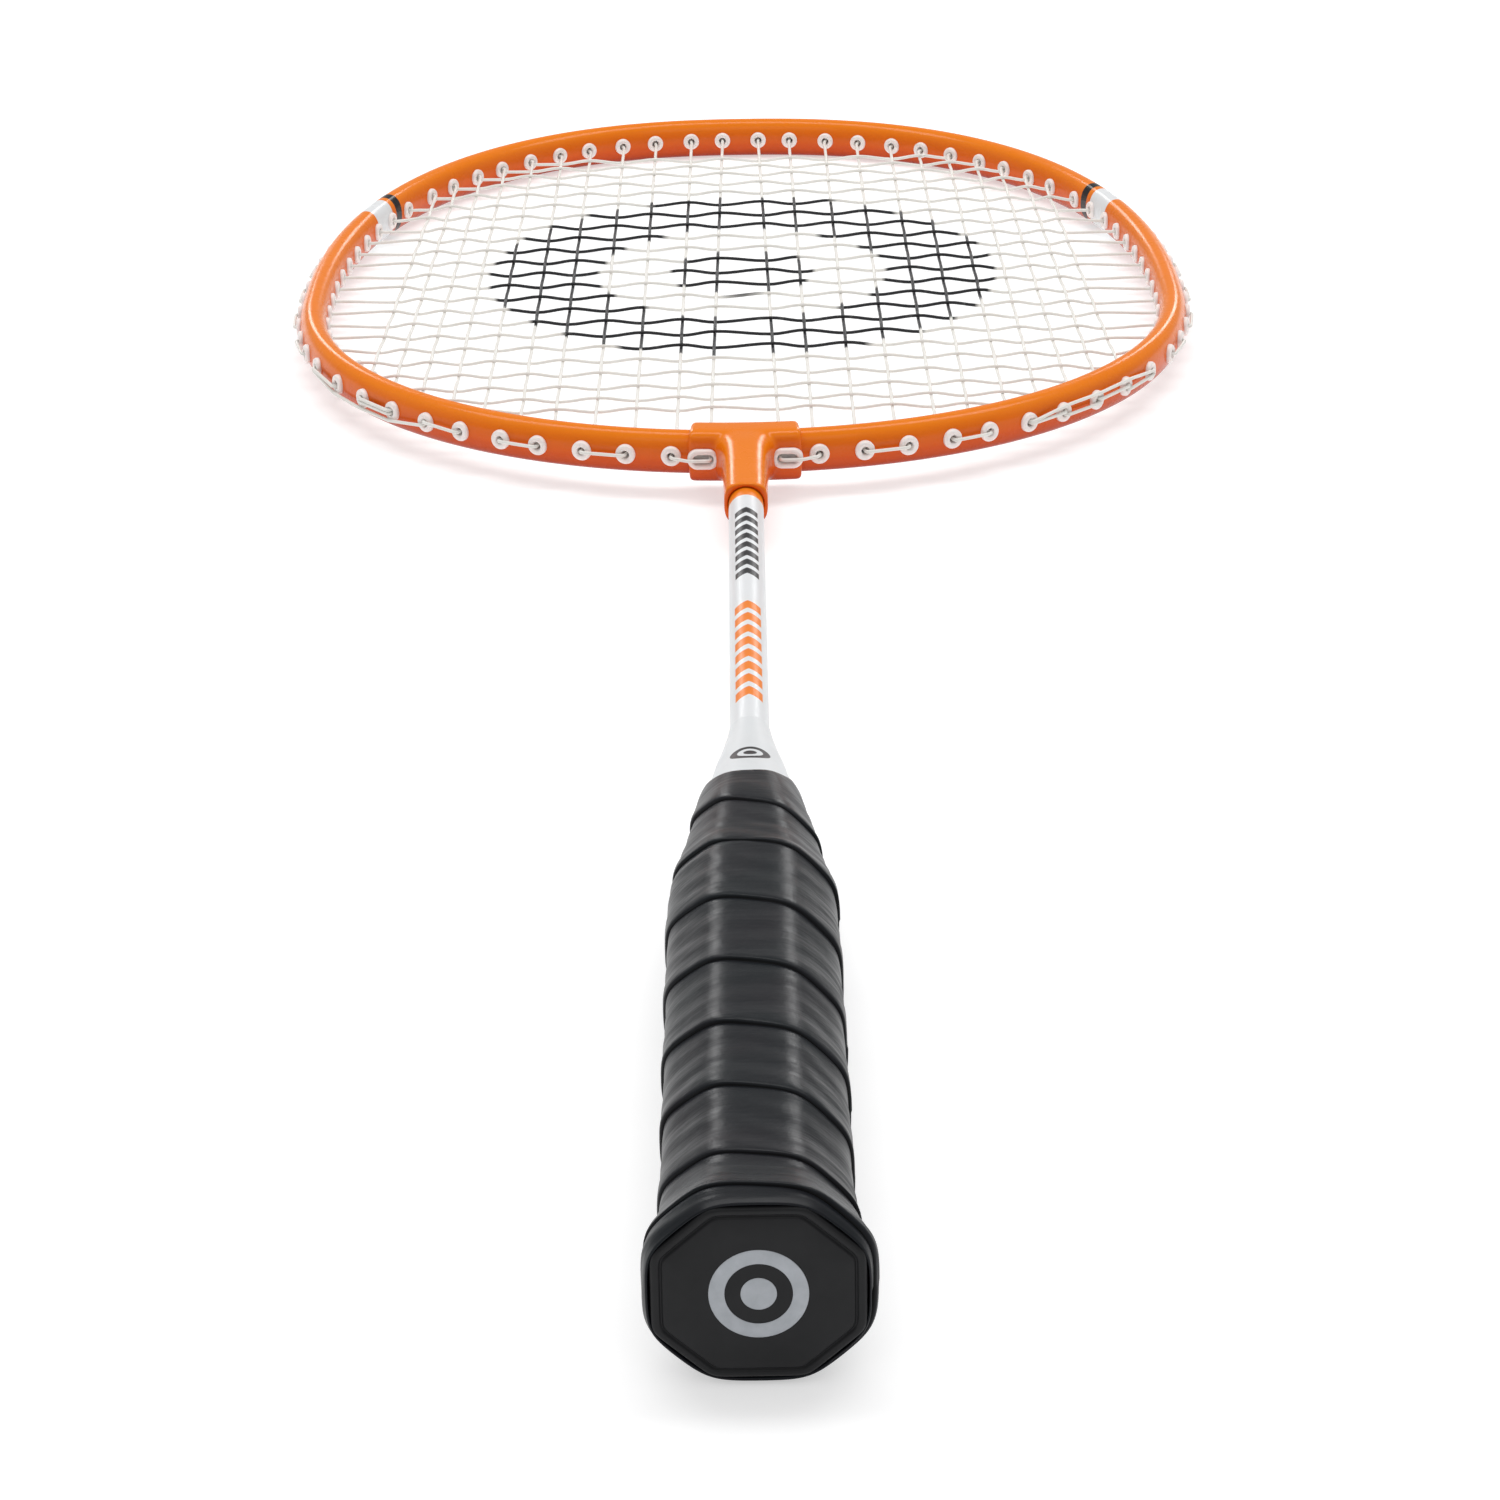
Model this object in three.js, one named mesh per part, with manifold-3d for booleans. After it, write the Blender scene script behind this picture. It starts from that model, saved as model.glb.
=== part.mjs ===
// A short badminton racket for young players: an oval steel hoop and a steel shaft held together by a moulded
// T-joint, 22 main and 23 cross strings in plastic grommets, and a wooden handle with a cone, a butt cap and a
// wound grip.
//
// Millimetres. +X is across the racket, +Y runs from the butt to the tip, and +Z is square to the strings.
// The origin is the middle of the flat end of the butt cap, and the strings lie in the plane z = 0.
import * as THREE from "three";
import { mergeVertices } from "three/addons/utils/BufferGeometryUtils.js";
import Module from "manifold-3d";

const wasm = await Module();
wasm.setup();

// ---- driving dimensions -----------------------------------------------------------------------------------

const FIT = 0.3; // gap between pieces that touch

// Hoop: the middle line of the tube is two half superellipses that share their widest line.
const HEAD_HALF_WIDTH = 99;
const HEAD_CENTRE_Y = 442.1; // the widest line
const TIP_HALF = { length: 139.8, power: 2.32 };
const THROAT_HALF = { length: 95.7, power: 2.06 };
const HOOP = { depth: 3.1, height: 4.75, wall: 0.45, power: 2.2 }; // half sizes of the tube, in and across the head
const HOOP_STEPS = 60;
const HOOP_END_GAP = 1; // between the two ends of the tube, inside the T-joint

// Where the holes cross the middle line of the tube, as distances from the racket's axis.
const TIP_MAIN_X = [4.7, 13, 22.6, 31.3, 40.3, 48, 55.7, 63, 69.1, 75.1, 80.1];
const THROAT_MAIN_X = [7.4, 15.3, 24.7, 33.8, 43, 50.8, 59.4, 66.9, 74.4, 81.2, 87.2];
const MAINS = TIP_MAIN_X.length; // on each side of the axis
const TIP_SHARED = 5; // the outermost mains at the tip share their holes with the first crosses
const THROAT_SHARED = 4; // and those at the throat with the last crosses
const SIDE_CROSSES = 14; // crosses with holes of their own
const CROSSES = TIP_SHARED + SIDE_CROSSES + THROAT_SHARED;

// Grommets: distances along the hole are from the middle line of the tube.
const GROMMET = { bore: 1.1, barrel: 1.5, flange: 2.1, flangeThickness: 0.6, inside: 0.5 };
const HOLE_RADIUS = 1.85;
const GROMMET_SIDES = 6;
const RUNNER_THICKNESS = 1; // the rail inside the tube that joins the two grommets of a pair
const SLOT = { x: 8.9, straight: 1.1, bore: 1.1, barrel: 1.5, flange: 2.2 }; // oval grommets in the T-joint

// Strings
const STRING_RADIUS = 0.375;
const MAIN_Z = 0.5;
const CROSS_Z = -0.5;
const TAIL_Z = 1.9; // the loose ends run along the outside of the hoop, this far from the plane of the strings
const BEND_CLEARANCE = 0.65; // a string turns this far beyond the mouth of its grommet

// T-joint
const SLEEVE = { halfLength: 11.6, depth: 4.5, height: 6, power: 4.5 };
const STEM_END_Y = 315;

// Shaft and handle
const SHAFT = { radius: 3.6, wall: 0.5, from: 60, to: 338 };
const CONE_TOP_Y = 197.5;
const CONE_FOOT_Y = 153;
const CAP = { floor: 3.3, skirt: 14.2, rim: 15.6 };
const GROOVE = { outer: 14.5, inner: 13.6, depth: 0.6 }; // the octagonal groove in the end of the cap
const OCTAGON = { flatness: 0.9, corner: 0.45 }; // height over width, and half a flat over half a side

// ---- helpers ----------------------------------------------------------------------------------------------

// The geometry as a manifold-3d solid.
function solid(geometry) {
  const bare = geometry.clone();
  bare.deleteAttribute("normal");
  bare.deleteAttribute("uv");
  const merged = mergeVertices(bare, 1e-4);
  return new wasm.Manifold(new wasm.Mesh({
    numProp: 3,
    vertProperties: new Float32Array(merged.attributes.position.array),
    triVerts: new Uint32Array(merged.index.array),
  }));
}

// A manifold-3d solid as a geometry with flat shading.
function geometryOf(body) {
  const mesh = body.getMesh();
  const positions = new Float32Array(mesh.numVert * 3);
  for (let i = 0; i < mesh.numVert; i++) {
    positions.set(mesh.vertProperties.subarray(i * mesh.numProp, i * mesh.numProp + 3), i * 3);
  }
  const geometry = new THREE.BufferGeometry();
  geometry.setAttribute("position", new THREE.BufferAttribute(positions, 3));
  geometry.setIndex(new THREE.BufferAttribute(new Uint32Array(mesh.triVerts), 1));
  const flat = geometry.toNonIndexed();
  flat.computeVertexNormals();
  return flat;
}

function cut(body, tools) {
  return tools.reduce((left, tool) => left.subtract(tool), body);
}

function join(bodies) {
  return bodies.reduce((whole, next) => whole.add(next));
}

// A skin over rings of Vector3 with the same number of points. It is closed by flat ends, or in a loop.
function loft(rings, loop = false) {
  const count = rings[0].length;
  const points = rings.flat();
  const faces = [];
  const bands = loop ? rings.length : rings.length - 1;
  for (let band = 0; band < bands; band++) {
    const here = band * count;
    const next = ((band + 1) % rings.length) * count;
    for (let i = 0; i < count; i++) {
      const j = (i + 1) % count;
      faces.push([here + i, here + j, next + j], [here + i, next + j, next + i]);
    }
  }
  if (!loop) {
    const last = (rings.length - 1) * count;
    for (let i = 1; i < count - 1; i++) {
      faces.push([0, i + 1, i], [last, last + i, last + i + 1]);
    }
  }
  const volume = faces.reduce((sum, [a, b, c]) => sum + points[a].dot(points[b].clone().cross(points[c])), 0);
  if (volume < 0) faces.forEach((face) => face.reverse());
  const geometry = new THREE.BufferGeometry().setFromPoints(points);
  geometry.setIndex(faces.flat());
  return geometry;
}

// A hollow skin: out along the outer rings and back along the inner ones.
function shell(outer, inner) {
  return loft([...outer, ...[...inner].reverse()], true);
}

// Points round a superellipse with the half sizes u and v. No point is on an axis.
function superellipse(u, v, power, count) {
  return Array.from({ length: count }, (_, i) => {
    const angle = (2 * Math.PI * (i + 0.5)) / count;
    const c = Math.cos(angle);
    const s = Math.sin(angle);
    return [u * Math.sign(c) * Math.abs(c) ** (2 / power), v * Math.sign(s) * Math.abs(s) ** (2 / power)];
  });
}

// An octagon square to the racket's axis, half a width `half` across.
function octagon(half, y, flatness = OCTAGON.flatness) {
  const high = half * flatness;
  const quarter = [[half, high * OCTAGON.corner], [half * OCTAGON.corner, high]];
  const outline = [
    ...quarter,
    ...[...quarter].reverse().map(([x, z]) => [-x, z]),
    ...quarter.map(([x, z]) => [-x, -z]),
    ...[...quarter].reverse().map(([x, z]) => [x, -z]),
  ];
  return outline.map(([x, z]) => new THREE.Vector3(x, y, z));
}

// A solid of revolution round the racket's axis, from a closed profile of [radius, y].
function turned(profile, sides) {
  const closed = [...profile, profile[0]].map(([radius, y]) => new THREE.Vector2(radius, y));
  return new THREE.LatheGeometry(closed, sides);
}

// A round bar along the racket's axis.
function bar(radius, from, to, sides) {
  return new THREE.CylinderGeometry(radius, radius, to - from, sides).translate(0, (from + to) / 2, 0);
}

// An eight-sided superellipse whose flats, not its corners, reach the half sizes.
function flatSided(u, v, power) {
  const grow = Math.cos(Math.PI / 8) ** (-2 / power);
  return superellipse(u * grow, v * grow, power, 8);
}

// ---- the line of the hoop ---------------------------------------------------------------------------------

const halfAt = (y) => (y >= HEAD_CENTRE_Y ? TIP_HALF : THROAT_HALF);

// A place on the middle line of the tube, with the direction that points out of the head.
function place(x, y) {
  const { length, power } = halfAt(y);
  const dy = y - HEAD_CENTRE_Y;
  const across = (Math.sign(x) * Math.abs(x / HEAD_HALF_WIDTH) ** (power - 1)) / HEAD_HALF_WIDTH;
  const along = (Math.sign(dy) * Math.abs(dy / length) ** (power - 1)) / length;
  return { middle: new THREE.Vector3(x, y, 0), out: new THREE.Vector3(across, along, 0).normalize() };
}

function placeAtAngle(angle) {
  const c = Math.cos(angle);
  const s = Math.sin(angle);
  const { length, power } = s >= 0 ? TIP_HALF : THROAT_HALF;
  const reach = (Math.abs(c / HEAD_HALF_WIDTH) ** power + Math.abs(s / length) ** power) ** (-1 / power);
  return place(reach * c, HEAD_CENTRE_Y + reach * s);
}

function placeAtX(x, half) {
  const rise = half.length * (1 - Math.abs(x / HEAD_HALF_WIDTH) ** half.power) ** (1 / half.power);
  return place(x, HEAD_CENTRE_Y + (half === TIP_HALF ? rise : -rise));
}

function placeAtY(y, side) {
  const { length, power } = halfAt(y);
  const reach = HEAD_HALF_WIDTH * (1 - Math.abs((y - HEAD_CENTRE_Y) / length) ** power) ** (1 / power);
  return place(side * reach, y);
}

// The point this far out of the head from a place, and this high.
const offset = ({ middle, out }, distance, z = 0) => middle.clone().addScaledVector(out, distance).setZ(z);

// A ring round the middle line of the tube.
const sectionAt = (spot, outline) => outline.map(([u, z]) => offset(spot, u, z));

// ---- holes and grommets -----------------------------------------------------------------------------------

const FLANGE_SEAT = HOOP.depth + FIT - 0.05;
const OUTER_MOUTH = FLANGE_SEAT + GROMMET.flangeThickness;
const INNER_MOUTH = FLANGE_SEAT + GROMMET.inside;
const OUTER_BEND = OUTER_MOUTH + BEND_CLEARANCE;
const INNER_BEND = INNER_MOUTH + BEND_CLEARANCE;

// The heights of the crosses: the shared ones follow their holes, and the rest are spread evenly between them.
function crossHeights() {
  const shared = (xs, half) => xs.map((x) => offset(placeAtX(x, half), -INNER_BEND).y);
  const first = shared(TIP_MAIN_X.slice(-TIP_SHARED), TIP_HALF);
  const last = shared(THROAT_MAIN_X.slice(-THROAT_SHARED).reverse(), THROAT_HALF);
  const pitch = (first[TIP_SHARED - 1] - last[0]) / (SIDE_CROSSES + 1);
  const middle = Array.from({ length: SIDE_CROSSES }, (_, i) => first[TIP_SHARED - 1] - pitch * (i + 1));
  return [...first, ...middle, ...last];
}

const CROSS_Y = crossHeights();

// The hole of a main string, counted from 0 at the axis, and of a cross, counted from 0 at the tip.
const mainHole = (side, main, half) =>
  placeAtX(side * (half === TIP_HALF ? TIP_MAIN_X : THROAT_MAIN_X)[main], half);

function crossHole(side, cross) {
  if (cross < TIP_SHARED) return mainHole(side, MAINS - TIP_SHARED + cross, TIP_HALF);
  const fromLast = CROSSES - 1 - cross;
  if (fromLast < THROAT_SHARED) return mainHole(side, MAINS - THROAT_SHARED + fromLast, THROAT_HALF);
  return placeAtY(CROSS_Y[cross], side);
}

// All round holes of one side, from the tip to the throat. The innermost main at the throat has a slot instead.
function sideHoles(side) {
  const tip = TIP_MAIN_X.slice(0, -TIP_SHARED).map((_, main) => mainHole(side, main, TIP_HALF));
  const rows = CROSS_Y.map((_, cross) => crossHole(side, cross));
  const throat = THROAT_MAIN_X.slice(1, -THROAT_SHARED).map((_, i) => mainHole(side, i + 1, THROAT_HALF));
  return [...tip, ...rows, ...throat.reverse()];
}

// A geometry made round the Y axis, set into a hole: its +Y points out of the head.
function inHole(spot, geometry) {
  const turn = new THREE.Quaternion().setFromUnitVectors(new THREE.Vector3(0, 1, 0), spot.out);
  return solid(geometry.applyQuaternion(turn).translate(spot.middle.x, spot.middle.y, 0));
}

function holeCutter(spot) {
  const reach = HOOP.depth + 1;
  return inHole(spot, new THREE.CylinderGeometry(HOLE_RADIUS, HOLE_RADIUS, 2 * reach, GROMMET_SIDES));
}

function grommet(spot) {
  const { bore, barrel, flange } = GROMMET;
  const profile = [
    [barrel, -INNER_MOUTH], [barrel, FLANGE_SEAT], [flange, FLANGE_SEAT], [flange, OUTER_MOUTH],
    [bore, OUTER_MOUTH], [bore, -INNER_MOUTH],
  ];
  return inHole(spot, turned(profile, GROMMET_SIDES));
}

// A box from the wall of one grommet to the wall of the next, inside the tube.
function runner(a, b) {
  const along = b.middle.clone().sub(a.middle);
  const centre = a.middle.clone().add(b.middle).multiplyScalar(0.5);
  const length = along.length() - 2 * GROMMET.bore - 0.3;
  const box = new THREE.BoxGeometry(length, RUNNER_THICKNESS, RUNNER_THICKNESS);
  return solid(box.rotateZ(Math.atan2(along.y, along.x)).translate(centre.x, centre.y, 0));
}

const grommetPair = (a, b) => geometryOf(join([grommet(a), grommet(b), runner(a, b)]));

// A prism along Y with round ends, for the slots in the T-joint.
function oval(side, radius, from, to) {
  const shape = new THREE.Shape();
  const half = SLOT.straight;
  shape.absarc(half, 0, radius, -Math.PI / 2, Math.PI / 2);
  shape.absarc(-half, 0, radius, Math.PI / 2, (3 * Math.PI) / 2);
  const geometry = new THREE.ExtrudeGeometry(shape, { depth: to - from, bevelEnabled: false, curveSegments: 4 });
  return solid(geometry.rotateX(-Math.PI / 2).translate(side * SLOT.x, from, 0));
}

const SLOT_FRONT_Y = placeAtX(0, THROAT_HALF).middle.y - SLEEVE.depth - FIT; // flange seat, on the butt side
const SLOT_BACK_Y = placeAtX(SLOT.x, THROAT_HALF).middle.y + SLEEVE.depth + FIT; // just clear of the string side

function slotGrommet(side) {
  const front = SLOT_FRONT_Y - GROMMET.flangeThickness;
  const back = SLOT_BACK_Y + GROMMET.inside;
  const body = oval(side, SLOT.barrel, front, back).add(oval(side, SLOT.flange, front, SLOT_FRONT_Y));
  return geometryOf(body.subtract(oval(side, SLOT.bore, front - 1, back + 1)));
}

const slotCutter = (side) => oval(side, SLOT.barrel + FIT, SLOT_FRONT_Y - 2, SLOT_BACK_Y + 2);

// ---- hoop and T-joint -------------------------------------------------------------------------------------

function hoop() {
  const start = -Math.PI / 2 + Math.atan2(HOOP_END_GAP / 2, THROAT_HALF.length);
  const sweep = 2 * Math.PI + 2 * (-Math.PI / 2 - start);
  const spots = Array.from({ length: HOOP_STEPS + 1 }, (_, i) => placeAtAngle(start + (sweep * i) / HOOP_STEPS));
  const outer = flatSided(HOOP.depth, HOOP.height, HOOP.power);
  const inner = flatSided(HOOP.depth - HOOP.wall, HOOP.height - HOOP.wall, HOOP.power);
  const tube = shell(spots.map((s) => sectionAt(s, outer)), spots.map((s) => sectionAt(s, inner)));
  const holes = [...sideHoles(-1), ...sideHoles(1)].map(holeCutter);
  return geometryOf(cut(solid(tube), [...holes, slotCutter(-1), slotCutter(1)]));
}

// A solid along the middle line of the tube at the throat, as far as `reach` on each side of the axis.
function throatSweep(reach, outline) {
  const xs = [-1, -0.5, 0, 0.5, 1].map((part) => part * reach);
  return loft(xs.map((x) => sectionAt(placeAtX(x, THROAT_HALF), outline)));
}

function hoopJointPin() {
  const slack = HOOP.wall + FIT;
  return throatSweep(5, flatSided(HOOP.depth - slack, HOOP.height - slack, HOOP.power));
}

function tJoint() {
  const sleeve = throatSweep(SLEEVE.halfLength, superellipse(SLEEVE.depth, SLEEVE.height, SLEEVE.power, 12));
  const tunnel = throatSweep(SLEEVE.halfLength + 3, flatSided(HOOP.depth + FIT, HOOP.height + FIT, HOOP.power));
  // Half widths and half heights of the stem, which swells into the sleeve.
  const stemSections = [
    [STEM_END_Y, 4.4, 4.4],
    [327, 4.5, 4.75],
    [335, 4.75, 5.2],
    [341.9, 5.2, 5.75],
    [344, 8, 5.75],
  ];
  const stem = loft(stemSections.map(([y, wide, high]) =>
    superellipse(wide, high, 2.3, 12).map(([x, z]) => new THREE.Vector3(x, y, z))));
  const bore = bar(SHAFT.radius + FIT, STEM_END_Y - 5, SHAFT.to + FIT, 20);
  const tools = [solid(tunnel), solid(bore), slotCutter(-1), slotCutter(1)];
  return geometryOf(cut(solid(sleeve).add(solid(stem)), tools));
}

// ---- strings ----------------------------------------------------------------------------------------------

// A round cord along a list of points, with a mitre at each bend.
function cord(points, sides = 6) {
  const directions = points.slice(1).map((p, i) => p.clone().sub(points[i]).normalize());
  let across = new THREE.Vector3(0, 0, 1);
  const rings = points.map((point, i) => {
    const before = directions[Math.max(i - 1, 0)];
    const after = directions[Math.min(i, directions.length - 1)];
    const u = across.clone().addScaledVector(before, -across.dot(before)).normalize();
    const v = before.clone().cross(u);
    const plane = before.clone().add(after).normalize();
    across = u.clone().applyQuaternion(new THREE.Quaternion().setFromUnitVectors(before, after));
    return Array.from({ length: sides }, (_, k) => {
      const angle = (2 * Math.PI * (k + 0.5)) / sides;
      const arm = u.clone().multiplyScalar(STRING_RADIUS * Math.cos(angle));
      arm.addScaledVector(v, STRING_RADIUS * Math.sin(angle));
      // Slid along the cord on to the plane that halves the bend.
      arm.addScaledVector(before, -arm.dot(plane) / before.dot(plane));
      return point.clone().add(arm);
    });
  });
  return loft(rings);
}

// The two turning points of a string at a hole: inside the head first.
const throughHole = (spot, z) => [offset(spot, -INNER_BEND, z), offset(spot, OUTER_BEND, z)];

function mainEnds(side, main) {
  const tip = throughHole(mainHole(side, main, TIP_HALF), MAIN_Z);
  if (main > 0) return { tip, throat: throughHole(mainHole(side, main, THROAT_HALF), MAIN_Z) };
  // The innermost main leaves through the slot and runs over the end of its flange.
  const x = side * THROAT_MAIN_X[0];
  const outside = SLOT_FRONT_Y - GROMMET.flangeThickness - BEND_CLEARANCE;
  const overFlange = side * (SLOT.x + SLOT.straight + SLOT.flange - 0.4);
  const inside = SLOT_BACK_Y + GROMMET.inside + BEND_CLEARANCE;
  const throat = [
    new THREE.Vector3(x, inside, MAIN_Z),
    new THREE.Vector3(x, outside, MAIN_Z),
    new THREE.Vector3(overFlange, outside, MAIN_Z),
  ];
  return { tip, throat };
}

// The loose end of a string, led along the outside of the hoop past a row of holes.
const tail = (spots, z) => spots.map((spot) => offset(spot, OUTER_BEND, z));

// Half of the main string, from its end at one side to the tip of the innermost main. Only the right one is led
// past other holes; the left one ends in its own.
function mainHalf(side) {
  const holes = side < 0 ? [] : [7, 8, 9];
  const points = tail(holes.map((main) => mainHole(side, main, THROAT_HALF)), TAIL_Z);
  for (let main = MAINS - 1; main >= 0; main--) {
    const { tip, throat } = mainEnds(side, main);
    const towardsTip = (MAINS - 1 - main) % 2 === 0;
    const up = [...[...throat].reverse(), ...tip];
    points.push(...(towardsTip ? up : [...up].reverse()));
  }
  return points;
}

function mainStrings() {
  return cord([...mainHalf(-1), ...mainHalf(1).reverse()]);
}

// The crosses start at the sixth main on the right of the tip, wind to and fro, and end along the left.
function crossStrings() {
  const points = throughHole(mainHole(1, 5, TIP_HALF), CROSS_Z);
  for (let cross = 0; cross < CROSSES; cross++) {
    const side = cross % 2 === 0 ? 1 : -1;
    const entry = throughHole(crossHole(side, cross), CROSS_Z).reverse();
    const exit = throughHole(crossHole(-side, cross), CROSS_Z);
    points.push(...entry, ...exit);
  }
  const holes = [1, 2, 3, 4].map((back) => crossHole(-1, CROSSES - 1 - back));
  points.push(...tail(holes, -TAIL_Z));
  return cord(points);
}

// ---- shaft and handle -------------------------------------------------------------------------------------

function shaft() {
  const inside = SHAFT.radius - SHAFT.wall;
  return turned([[SHAFT.radius, SHAFT.from], [SHAFT.radius, SHAFT.to], [inside, SHAFT.to], [inside, SHAFT.from]], 20);
}

function cone() {
  const bore = SHAFT.radius + FIT;
  const outside = [
    [9.4, CONE_FOOT_Y], [9.3, 158], [8.8, 164], [7.8, 169], [7.1, 174],
    [6.5, 179.3], [5.7, 184.6], [5, 190], [4.45, 195], [4.2, CONE_TOP_Y],
  ];
  return turned([...outside, [bore, CONE_TOP_Y], [bore, CONE_FOOT_Y]], 20);
}

// The handle turns from a flattened octagon into a round one where it meets the cone.
const flatnessAt = (y) =>
  THREE.MathUtils.mapLinear(THREE.MathUtils.clamp(y, 135, CONE_FOOT_Y), 135, CONE_FOOT_Y, OCTAGON.flatness, 1);

const handleRings = (profile) => profile.map(([y, half]) => octagon(half, y, flatnessAt(y)));

// Half widths of the outside of the grip, from the butt to its feathered end on the cone.
const GRIP_OUTSIDE = [
  [0.6, 16.3], [2.5, 16.9], [5, 17], [8, 16.4], [12, 15.5], [16, 14.9], [21, 14.65], [31, 14.6], [120, 14.6],
  [127, 13.85], [133, 13.15], [139, 12.35], [146, 11.45], [152, 10.75], [158, 10.25], [163, 9.75], [168, 9.05],
];
// The same for its inside, which lies on the cap, the wood and the cone.
const GRIP_INSIDE = [
  [0.6, 15.9], [2.5, 15.95], [6, 15.85], [8.5, 15.55], [11, 15], [12.6, 14.5], [14.5, 13.55], [18, 13.15],
  [31, 13.05], [113, 13.05], [127, 12.5], [139, 11.05], [146, 10.3], [153, 9.65], [158, 9.5], [164, 8.95],
  [168, 8.15],
];

function gripWrap() {
  return shell(handleRings(GRIP_OUTSIDE), handleRings(GRIP_INSIDE));
}

const TACK = { y: 8, head: 1.6, headThickness: 0.6, shank: 0.5, length: 6 };
const TACK_SEAT = 13.9; // distance of the underside of the head from the racket's axis

// A bar square to the side faces of the handle.
function sideBar(side, radius, from, to) {
  const geometry = new THREE.CylinderGeometry(radius, radius, to - from, 8).rotateZ(Math.PI / 2);
  return solid(geometry.translate((side * (from + to)) / 2, TACK.y, 0));
}

function capTack(side) {
  const head = sideBar(side, TACK.head, TACK_SEAT, TACK_SEAT + TACK.headThickness);
  return geometryOf(head.add(sideBar(side, TACK.shank, TACK_SEAT - TACK.length, TACK_SEAT + 0.1)));
}

const tackHole = (side) => sideBar(side, TACK.shank + FIT, TACK_SEAT - TACK.length - FIT, TACK_SEAT + 5);
const tackPocket = (side) => sideBar(side, TACK.head + FIT, TACK_SEAT - FIT, TACK_SEAT + 5);

function handleCore() {
  const from = CAP.floor + FIT;
  const wood = loft(handleRings([
    [from, 12.75], [113, 12.75], [127, 12.2], [139, 10.75], [146, 10], [CONE_FOOT_Y - FIT, 9.3],
  ]));
  const bore = bar(SHAFT.radius + FIT, SHAFT.from - FIT, CONE_FOOT_Y + 5, 20);
  return geometryOf(cut(solid(wood), [solid(bore), tackHole(-1), tackHole(1)]));
}

function buttCap() {
  const outside = [
    [0, CAP.rim - 0.6], [0.35, CAP.rim - 0.2], [0.9, CAP.rim], [6, 15.5], [8.5, 15.2], [11, 14.75], [12.6, 14.2],
    [CAP.skirt, 13.4],
  ];
  const ring = (half, from, to) => solid(loft([octagon(half, from), octagon(half, to)]));
  const groove = ring(GROOVE.outer, -1, GROOVE.depth).subtract(ring(GROOVE.inner, -2, GROOVE.depth + 1));
  const cavity = ring(13.05, CAP.floor, CAP.skirt + 1);
  const body = solid(loft(handleRings(outside)));
  return geometryOf(cut(body, [groove, cavity, tackHole(-1), tackHole(1), tackPocket(-1), tackPocket(1)]));
}

// ---- the racket -------------------------------------------------------------------------------------------

const racket = new THREE.Group();

function add(name, geometry, color, roughness, metalness = 0) {
  const mesh = new THREE.Mesh(geometry, new THREE.MeshStandardMaterial({ color, roughness, metalness }));
  mesh.name = name;
  racket.add(mesh);
}

const ORANGE = 0xe0701c;
const WHITE_PLASTIC = 0xe9e2dc;
const STRING_WHITE = 0xf3f0ea;
const BLACK = 0x17181b;

add("hoop", hoop(), ORANGE, 0.25, 0.1);
add("hoop_joint_pin", hoopJointPin(), 0xa9adb2, 0.4, 1);
add("t_joint", tJoint(), ORANGE, 0.22);

for (const [name, side] of [["left", -1], ["right", 1]]) {
  add("slot_grommet_" + name, slotGrommet(side), WHITE_PLASTIC, 0.45);
}

const left = sideHoles(-1);
const right = sideHoles(1);
add("grommet_pair_tip", grommetPair(left[0], right[0]), WHITE_PLASTIC, 0.45);
for (const [name, holes] of [["left", left], ["right", right]]) {
  for (let i = 1; i < holes.length; i += 2) {
    const number = String((i + 1) / 2).padStart(2, "0");
    add(`grommet_pair_${name}_${number}`, grommetPair(holes[i], holes[i + 1]), WHITE_PLASTIC, 0.45);
  }
}

add("main_strings", mainStrings(), STRING_WHITE, 0.4);
add("cross_strings", crossStrings(), STRING_WHITE, 0.4);
add("shaft", shaft(), 0xeceeee, 0.2, 0.1);
add("cone", cone(), 0xeceeee, 0.25);
add("handle_core", handleCore(), 0xb98a55, 0.7);
add("butt_cap", buttCap(), BLACK, 0.5);
for (const [name, side] of [["left", -1], ["right", 1]]) {
  add("cap_tack_" + name, capTack(side), 0x9a9ea3, 0.35, 1);
}
add("grip_wrap", gripWrap(), 0x2b2c2f, 0.45);

export default racket;
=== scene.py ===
# The looks of a short badminton racket: lacquered steel hoop and shaft, moulded T-joint and cone, woven
# strings in ringed grommets, and a wound grip over a moulded butt cap.
#
# Lengths are millimetres in the racket's own frame until make_object turns them into metres: +X is across
# the racket, +Y runs from the butt to the tip, and +Z is square to the strings.
import math

import bmesh
import bpy
import numpy as np
from mathutils import Matrix, Vector


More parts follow.
